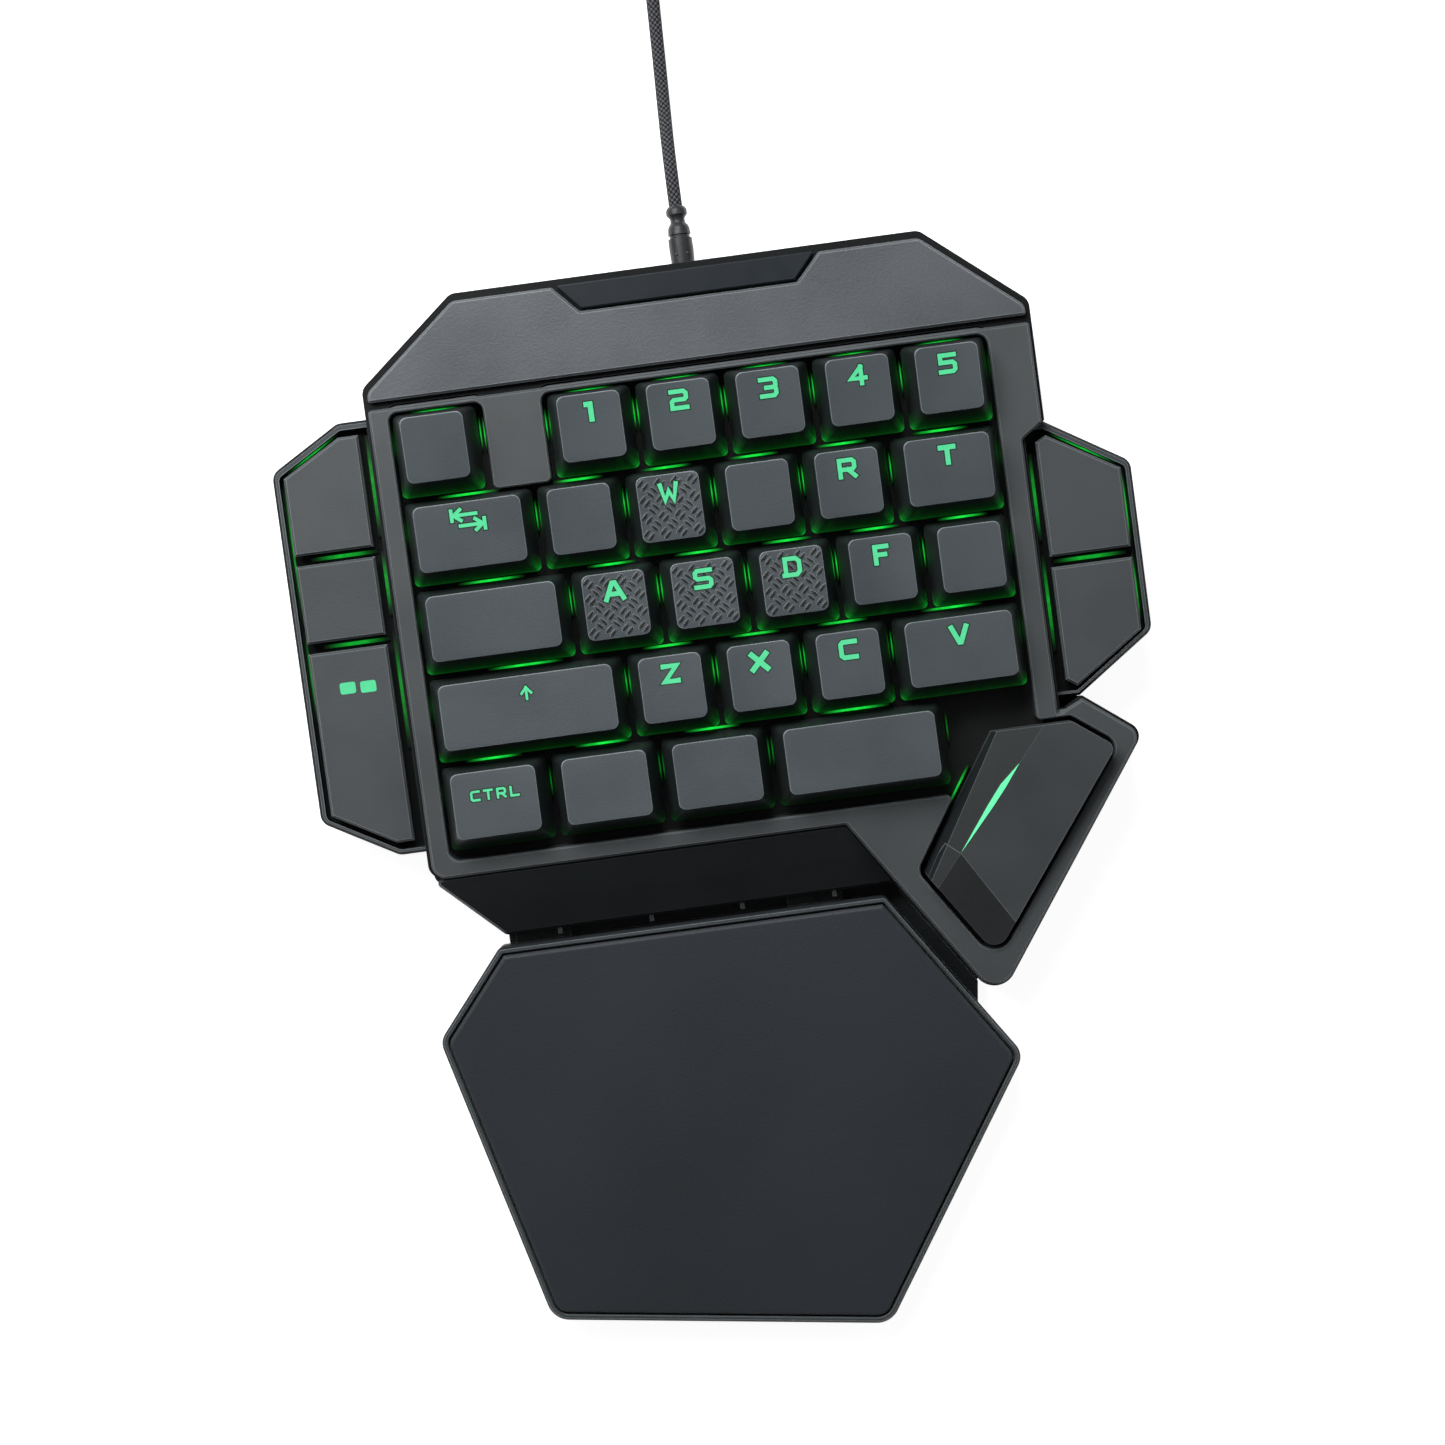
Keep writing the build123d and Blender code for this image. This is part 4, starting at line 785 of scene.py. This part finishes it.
# strokes of the plain squared letters, in a box 1 wide and 1 high
strokes = {
    "1": [[(0.1, 1), (0.75, 1), (0.75, 0)]],
    "2": [[(0, 1), (0.85, 1), (1, 0.87), (1, 0.6), (0.88, 0.5), (0.14, 0.5), (0, 0.38), (0, 0), (1, 0)]],
    "3": [[(0, 1), (0.86, 1), (1, 0.87), (1, 0.6), (0.9, 0.5), (1, 0.4), (1, 0.13), (0.86, 0), (0, 0)],
          [(0.35, 0.5), (0.9, 0.5)]],
    "4": [[(0.72, 1), (0, 0.32), (1, 0.32)], [(0.72, 1), (0.72, 0)]],
    "5": [[(1, 1), (0.04, 1), (0.04, 0.56), (0.86, 0.56), (1, 0.43), (1, 0.13), (0.86, 0), (0, 0)]],
    "R": [[(0, 0), (0, 1), (0.86, 1), (1, 0.87), (1, 0.56), (0.86, 0.43), (0.16, 0.43)],
          [(0.55, 0.43), (1, 0)]],
    "T": [[(0, 1), (1, 1)], [(0.5, 1), (0.5, 0)]],
    "A": [[(0, 0), (0.42, 1), (0.58, 1), (1, 0)], [(0.2, 0.3), (0.8, 0.3)]],
    "S": [[(1, 1), (0.14, 1), (0, 0.87), (0, 0.62), (0.14, 0.5), (0.86, 0.5), (1, 0.38), (1, 0.13),
           (0.86, 0), (0, 0)]],
    "D": [[(0.04, 0), (0.04, 1), (0.78, 1), (1, 0.8), (1, 0.2), (0.78, 0), (-0.08, 0)]],
    "F": [[(0.04, 0), (0.04, 1), (1, 1)], [(0.04, 0.5), (0.82, 0.5)]],
    "Z": [[(0, 1), (1, 1), (0, 0), (1, 0)]],
    "X": [[(0, 1), (1, 0)], [(0, 0), (1, 1)]],
    "C": [[(1, 1), (0.16, 1), (0, 0.86), (0, 0.14), (0.16, 0), (1, 0)]],
    "V": [[(0, 1), (0.44, 0), (0.56, 0), (1, 1)]],
    "W": [[(0, 1), (0.22, 0), (0.5, 0.62), (0.78, 0), (1, 1)]],
    "L": [[(0.04, 1), (0.04, 0), (1, 0)]],
    "up": [[(0.5, 0), (0.5, 1)], [(0.0, 0.5), (0.5, 1.0), (1.0, 0.5)]],
    "tab": [[(0, 0.52), (0, 1.08)], [(0.08, 0.8), (0.76, 0.8)], [(0.28, 1.1), (0.06, 0.8), (0.28, 0.5)],
            [(1, -0.08), (1, 0.48)], [(0.92, 0.2), (0.24, 0.2)], [(0.72, 0.5), (0.94, 0.2), (0.72, -0.1)]],
}
# width, height and stroke of each legend, in mm
legendSize = {
    "tab": (7.6, 4.6, 0.76), "up": (2.6, 3.0, 0.55), "1": (2.4, 4.3, 1.12), "A": (4.7, 4.4, 1.02),
    "Z": (3.9, 4.3, 1.08), "X": (4.2, 4.3, 1.18), "T": (3.8, 4.3, 1.08), "F": (3.6, 4.4, 1.0),
    "V": (4.2, 4.3, 1.08), "C": (4.1, 4.3, 1.02), "S": (4.2, 4.4, 0.94), "W": (4.3, 4.3, 0.95),
}
plainLegend = (4.05, 4.4, 0.94)
# a word of small letters
smallLetter = {"size": (2.1, 2.3, 0.5), "first": -4.2, "apart": 2.8, "down": 1.2}
inkBand = {"step": 0.5, "mitreLimit": 0.5}


def keyPlace(row, middle):
    return board["gridLeft"] + middle * board["unit"], (3 - row) * board["unit"]


def topOf(width, row):
    # height of a cap's dished top above the switch plate, at a place on it
    halfWide = (width * board["unit"] - keycap["gap"]) / 2
    halfChord = halfWide - keycap["sideLean"] + keycap["dishReach"]
    bend = (halfChord ** 2 + keycap["dish"] ** 2) / (2 * keycap["dish"])
    middle = (keycap["frontLean"] - keycap["rearLean"]) / 2
    slope = sin(radians(keycap["tilt"][row]))

    def height(x, y):
        dished = bend - keycap["dish"] - sqrt(bend ** 2 - x ** 2)
        return keycap["skirt"] + keycap["height"][row] + (y - middle) * slope + dished
    return height


def addStroke(build, line, stroke, place):
    # a flat band of even width with mitred corners
    points = [Vector(p) for p in line]
    sides = []
    for i, point in enumerate(points):
        before = (point - points[i - 1]).normalized() if i else (points[1] - point).normalized()
        after = (points[i + 1] - point).normalized() if i < len(points) - 1 else before
        across = Vector((-before.y - after.y, before.x + after.x)).normalized()
        reach = stroke / 2 / max(across.dot(Vector((-before.y, before.x))), inkBand["mitreLimit"])
        end = Vector((0, 0))
        if i == 0:
            end = -before * stroke / 2
        elif i == len(points) - 1:
            end = before * stroke / 2
        sides.append((point + across * reach + end, point - across * reach + end))
    # short steps, so that the band follows the dish of the cap
    for (a, b), (c, d) in zip(sides, sides[1:]):
        steps = ceil((c - a).length / inkBand["step"])
        rungs = [[build.verts.new(place(*p.lerp(q, i / steps))) for p, q in ((a, c), (b, d))]
                 for i in range(steps + 1)]
        for (e, f), (g, h) in zip(rungs, rungs[1:]):
            build.faces.new((e, f, h, g))


def addLetter(build, letter, size, centre, place, wider):
    width, height, stroke = size
    for line in strokes[letter]:
        points = [(centre[0] + (x - 0.5) * (width - stroke), centre[1] + (y - 0.5) * (height - stroke))
                  for x, y in line]
        addStroke(build, points, stroke + wider, place)


def addTread(build, reach, centreY, capPoint):
    # pairs of bars, each pair at right angles to its neighbours, all turned by 45 degrees
    length, wide, tall = keycap["treadBar"]
    cell, apart = keycap["treadCell"] * sqrt(0.5), keycap["treadApart"]
    cells = range(-keycap["treadCells"], keycap["treadCells"] + 1)
    for i, j, side in itertools.product(cells, cells, (-0.5, 0.5)):
        turn = radians(45 if (i + j) % 2 else -45)
        cx = (i + j) * cell - sin(turn) * apart * side
        cy = (j - i) * cell + cos(turn) * apart * side
        if abs(cx) > reach[0] or abs(cy) > reach[1]:
            continue
        loops = []
        for grow, lift in ((1.0, -0.05), (0.85, tall * 0.75), (0.5, tall)):
            ring = []
            for angle in anglesRound(10):
                a, b = length / 2 * cos(angle) * grow, wide / 2 * sin(angle) * grow
                ring.append(capPoint(cx + a * cos(turn) - b * sin(turn),
                                     cy + centreY + a * sin(turn) + b * cos(turn), 1, -lift))
            loops.append(ring)
        addLoops(build, loops, closeStart=False, materialIndex=capSlot["treadPbt"])


def addLegend(name, legend, legendY, capPoint):
    # the burnt line first, then the narrower ink a little above it
    if legend in strokes:
        letters = [(legend, legendSize.get(legend, plainLegend), (0, legendY))]
    else:
        letters = [(letter, smallLetter["size"], (smallLetter["first"] + smallLetter["apart"] * number,
                                                  legendY - smallLetter["down"]))
                   for number, letter in enumerate(legend)]
    build = bmesh.new()
    above = keycap["legendLift"] + (keycap["treadBar"][2] if name in treaded else 0)
    for wider, lift in ((keycap["legendEdge"], above * keycap["legendEdgeLift"]), (0.0, above)):
        for letter, size, centre in letters:
            addLetter(build, letter, size, centre, lambda px, py: capPoint(px, py, 1, -lift), wider)
        if wider:
            for face in build.faces:
                face.material_index = 1
    ink = finishPiece(f"legend.{name}", build, f"key_{name}", ["legendInk", "legendEdge"],
                      slotName="keycap", smooth=0)
    ink.visible_shadow = False


def makeKeycap(name, row, middle, width, legend):
    x, y = keyPlace(row, middle)
    top = topOf(width, row)
    halfWide = (width * board["unit"] - keycap["gap"]) / 2
    halfDeep = (board["unit"] - keycap["gap"]) / 2
    side = round(keycap["stepsPerUnit"] * width)
    skirt, edge = keycap["skirt"], keycap["edge"]
    loops = []

    def outline(share, inset, corner):
        lean = keycap["sideLean"] * share + inset
        return roundedRectangle(-halfWide + lean, halfWide - lean,
                                -halfDeep + keycap["frontLean"] * share + inset,
                                halfDeep - keycap["rearLean"] * share - inset, corner, 5, side)

    def capPoint(px, py, share=1, lowered=0):
        # share of the way from the rim to the dished top
        return onBoard(x + px, y + py, skirt + (top(px, py) - skirt - lowered) * share)

    def addRing(points, share=1, lowered=0):
        loops.append([capPoint(px, py, share, lowered) for px, py in points])

    # inside, from the ceiling down to the rim
    for share in keycap["innerShares"]:
        addRing(outline(share, keycap["wall"], keycap["innerCorner"]), share, keycap["ceiling"])
    addRing(outline(0, keycap["rimInset"], keycap["bottomCorner"]), 0)
    # outside, up the leaning walls
    for share in keycap["wallShares"]:
        corner = keycap["bottomCorner"] + (keycap["topCorner"] - keycap["bottomCorner"]) * share
        addRing(outline(share, 0, corner), share)
    # rounded shoulder, then the dished top in shrinking rings
    for inset, drop in keycap["shoulder"]:
        addRing(outline(1, inset * edge, keycap["topCorner"]), 1, drop * edge)
    centreY = (keycap["frontLean"] - keycap["rearLean"]) / 2
    for share in keycap["topShares"]:
        addRing([(px * share, centreY + (py - centreY) * share)
                 for px, py in outline(1, edge, keycap["dishCorner"])])
    build = bmesh.new()
    layer = build.verts.layers.float.new("glow")
    rings = addLoops(build, loops, bands=capBands)
    # painted lamp light: how much green light the lower walls show
    for number, strength in keycap["creep"].items():
        for vertex, (px, py) in zip(rings[number], outline(0, 0, keycap["bottomCorner"])):
            toFront, toSide = py + halfDeep, halfWide - abs(px)
            atCorner = exp(-(toFront ** 2 + toSide ** 2) / keycap["cornerSpread"])
            atFront = keycap["frontGlow"] * exp(-toFront ** 2)
            beside = keycap["sideGlow"] * exp(
                -toSide ** 2 - ((py - keycap["sideMiddle"]) / keycap["sideSpread"]) ** 2)
            vertex[layer] = strength * max(atCorner, atFront, beside) * keycap["rowGlow"][row]
    # slider, and the cross post of the cap on it
    boxes = [(keycap["slider"], keycap["sliderFoot"], 0.3)]
    boxes += [(bar, keycap["postFoot"], 0.1) for bar in keycap["post"]]
    for (wide, deep, tall), foot, radius in boxes:
        bevelledBox(build, (-wide, -deep, 0), (wide, deep, tall), radius, boardFrame(x, y, foot),
                    capSlot["keyStemPom"])
    rear = halfDeep - keycap["rearLean"]
    if name in treaded:
        margin = keycap["treadMargin"]
        addTread(build, (halfWide - keycap["sideLean"] - margin, rear - centreY - margin), centreY, capPoint)
    finishPiece(f"keycap.{name}", build, f"key_{name}", capMaterials, [f"key_{name}"], "keycap", smooth=36)
    if legend:
        addLegend(name, legend, rear - keycap["legendDown"], capPoint)


for keyName, (row, middle, width, legend) in keys.items():
    makeKeycap(keyName, row, middle, width, legend)
print("keycaps made:", len(keys))


def makeSideMarks():
    build = bmesh.new()
    for x, y in keycap["sideMarks"]["places"]:
        wide, deep = keycap["sideMarks"]["size"]
        outline = roundedRectangle(x - wide / 2, x + wide / 2, y - deep / 2, y + deep / 2, 0.5, 3, 1)
        build.faces.new([build.verts.new(onBoard(px, py, keycap["sideMarks"]["height"]))
                         for px, py in outline])
    finishPiece("legend.side", build, "side_key_left_lower", "legendInk", slotName="side_keycap", smooth=0)


makeSideMarks()

# Painted lamp light: thin glowing strips low in the gaps, standing in for the diodes' light, so that each key
# stands in its own light

glowStrips = {
    "height": (0.9, 1.7),     # above the switch plate, below a fully pressed cap
    "singleHeight": (0.9, 1.5),
    "rowStrip": (11.0, 0.5),  # along a row gap, behind each key
    "sideStrip": (0.26, 7.0), # between neighbours
    "firstRow": (0.25, 0.4),  # the first row's strip is nearer to its keys and narrower
    "sideShift": 0.41, "sideStart": 0.5, "sideLower": 0.3, "sideGlow": 0.65, "leastGlow": 0.3,
    "ends": (0.3, 63.5),      # the outer strips of the end keys are left out: from gridLeft, and in x
    "steps": 14, "taper": 0.8,
    # start, end, width, brightness along the wings, and last beside the thumb key
    "single": [
        ((-70.6, 22.0), (-70.6, 44.0), 0.7, 0.35), ((-70.6, 5.0), (-70.6, 19.0), 0.7, 0.35),
        ((-70.6, -24.0), (-70.6, 1.5), 0.7, 0.28), ((-86.0, 19.0), (-71.5, 19.0), 0.8, 0.45),
        ((-86.0, 0.0), (-71.5, 0.0), 0.8, 0.45), ((-89.6, 5.0), (-89.6, 37.0), 0.35, 0.3),
        ((-89.6, -16.0), (-89.6, 4.0), 0.35, 0.25), ((-88.6, 38.0), (-76.8, 44.9), 0.35, 0.5),
        ((70.5, 2.0), (70.5, 21.0), 0.7, 0.35), ((70.5, -22.0), (70.5, -1.0), 0.7, 0.35),
        ((72.5, -2.75), (88.5, -2.75), 0.8, 0.45), ((75.0, 24.9), (88.6, 16.6), 0.4, 0.6),
        ((89.7, -1.0), (89.7, 15.0), 0.35, 0.5), ((89.7, -18.0), (89.7, -3.0), 0.35, 0.4),
        ((43.4, -51.9), (48.9, -43.6), 0.45, 0.7),
    ],
}


def addGlowStrip(build, layer, start, end, width, strength, low, high):
    start, end = Vector(start), Vector(end)
    across = Vector((start.y - end.y, end.x - start.x)).normalized() * width / 2
    rings = []
    for i in range(glowStrips["steps"] + 1):
        share = i / glowStrips["steps"]
        centre = start.lerp(end, share)
        ring = []
        for side, height in ((1, low), (glowStrips["taper"], high), (-glowStrips["taper"], high), (-1, low)):
            point = centre + across * side
            vertex = build.verts.new(onBoard(point.x, point.y, height))
            vertex[layer] = strength * sin(pi * share) ** 2
            ring.append(vertex)
        rings.append(ring)
    for a, b in zip(rings, rings[1:]):
        for k in range(4):
            build.faces.new((a[k], a[(k + 1) % 4], b[(k + 1) % 4], b[k]))
    build.faces.new(rings[0])
    build.faces.new(rings[-1])


def makeGlowStrips():
    build = bmesh.new()
    layer = build.verts.layers.float.new("glow")
    low, high = glowStrips["height"]
    half = board["unit"] / 2
    for row, middle, width, legend in keys.values():
        x, y = keyPlace(row, middle)
        length, wide = glowStrips["rowStrip"]
        nearer, narrower = glowStrips["firstRow"] if row == 1 else (0, 1)
        reach, behind = length / 2 * sqrt(width), y + half - nearer
        addGlowStrip(build, layer, (x - reach, behind), (x + reach, behind), wide * narrower, 1.0, low, high)
        wide, length = glowStrips["sideStrip"]
        glow = glowStrips["sideGlow"] * max(keycap["rowGlow"][row], glowStrips["leastGlow"])
        for side, shift in itertools.product((-1, 1), (-glowStrips["sideShift"], glowStrips["sideShift"])):
            sx, sy = x + side * width * half + shift, y - glowStrips["sideStart"]
            atEnd = sx < board["gridLeft"] + glowStrips["ends"][0] or sx > glowStrips["ends"][1]
            if not (atEnd and shift * side > 0):
                addGlowStrip(build, layer, (sx, sy), (sx, sy + length), wide, glow, low,
                         high - glowStrips["sideLower"])
    for start, end, width, strength in glowStrips["single"]:
        addGlowStrip(build, layer, start, end, width, strength, *glowStrips["singleHeight"])
    finishPiece("paintedLampGlowStrips", build, "chassis", "lightGuide", slotName="lamp", smooth=0)


makeGlowStrips()
print("light guides made")
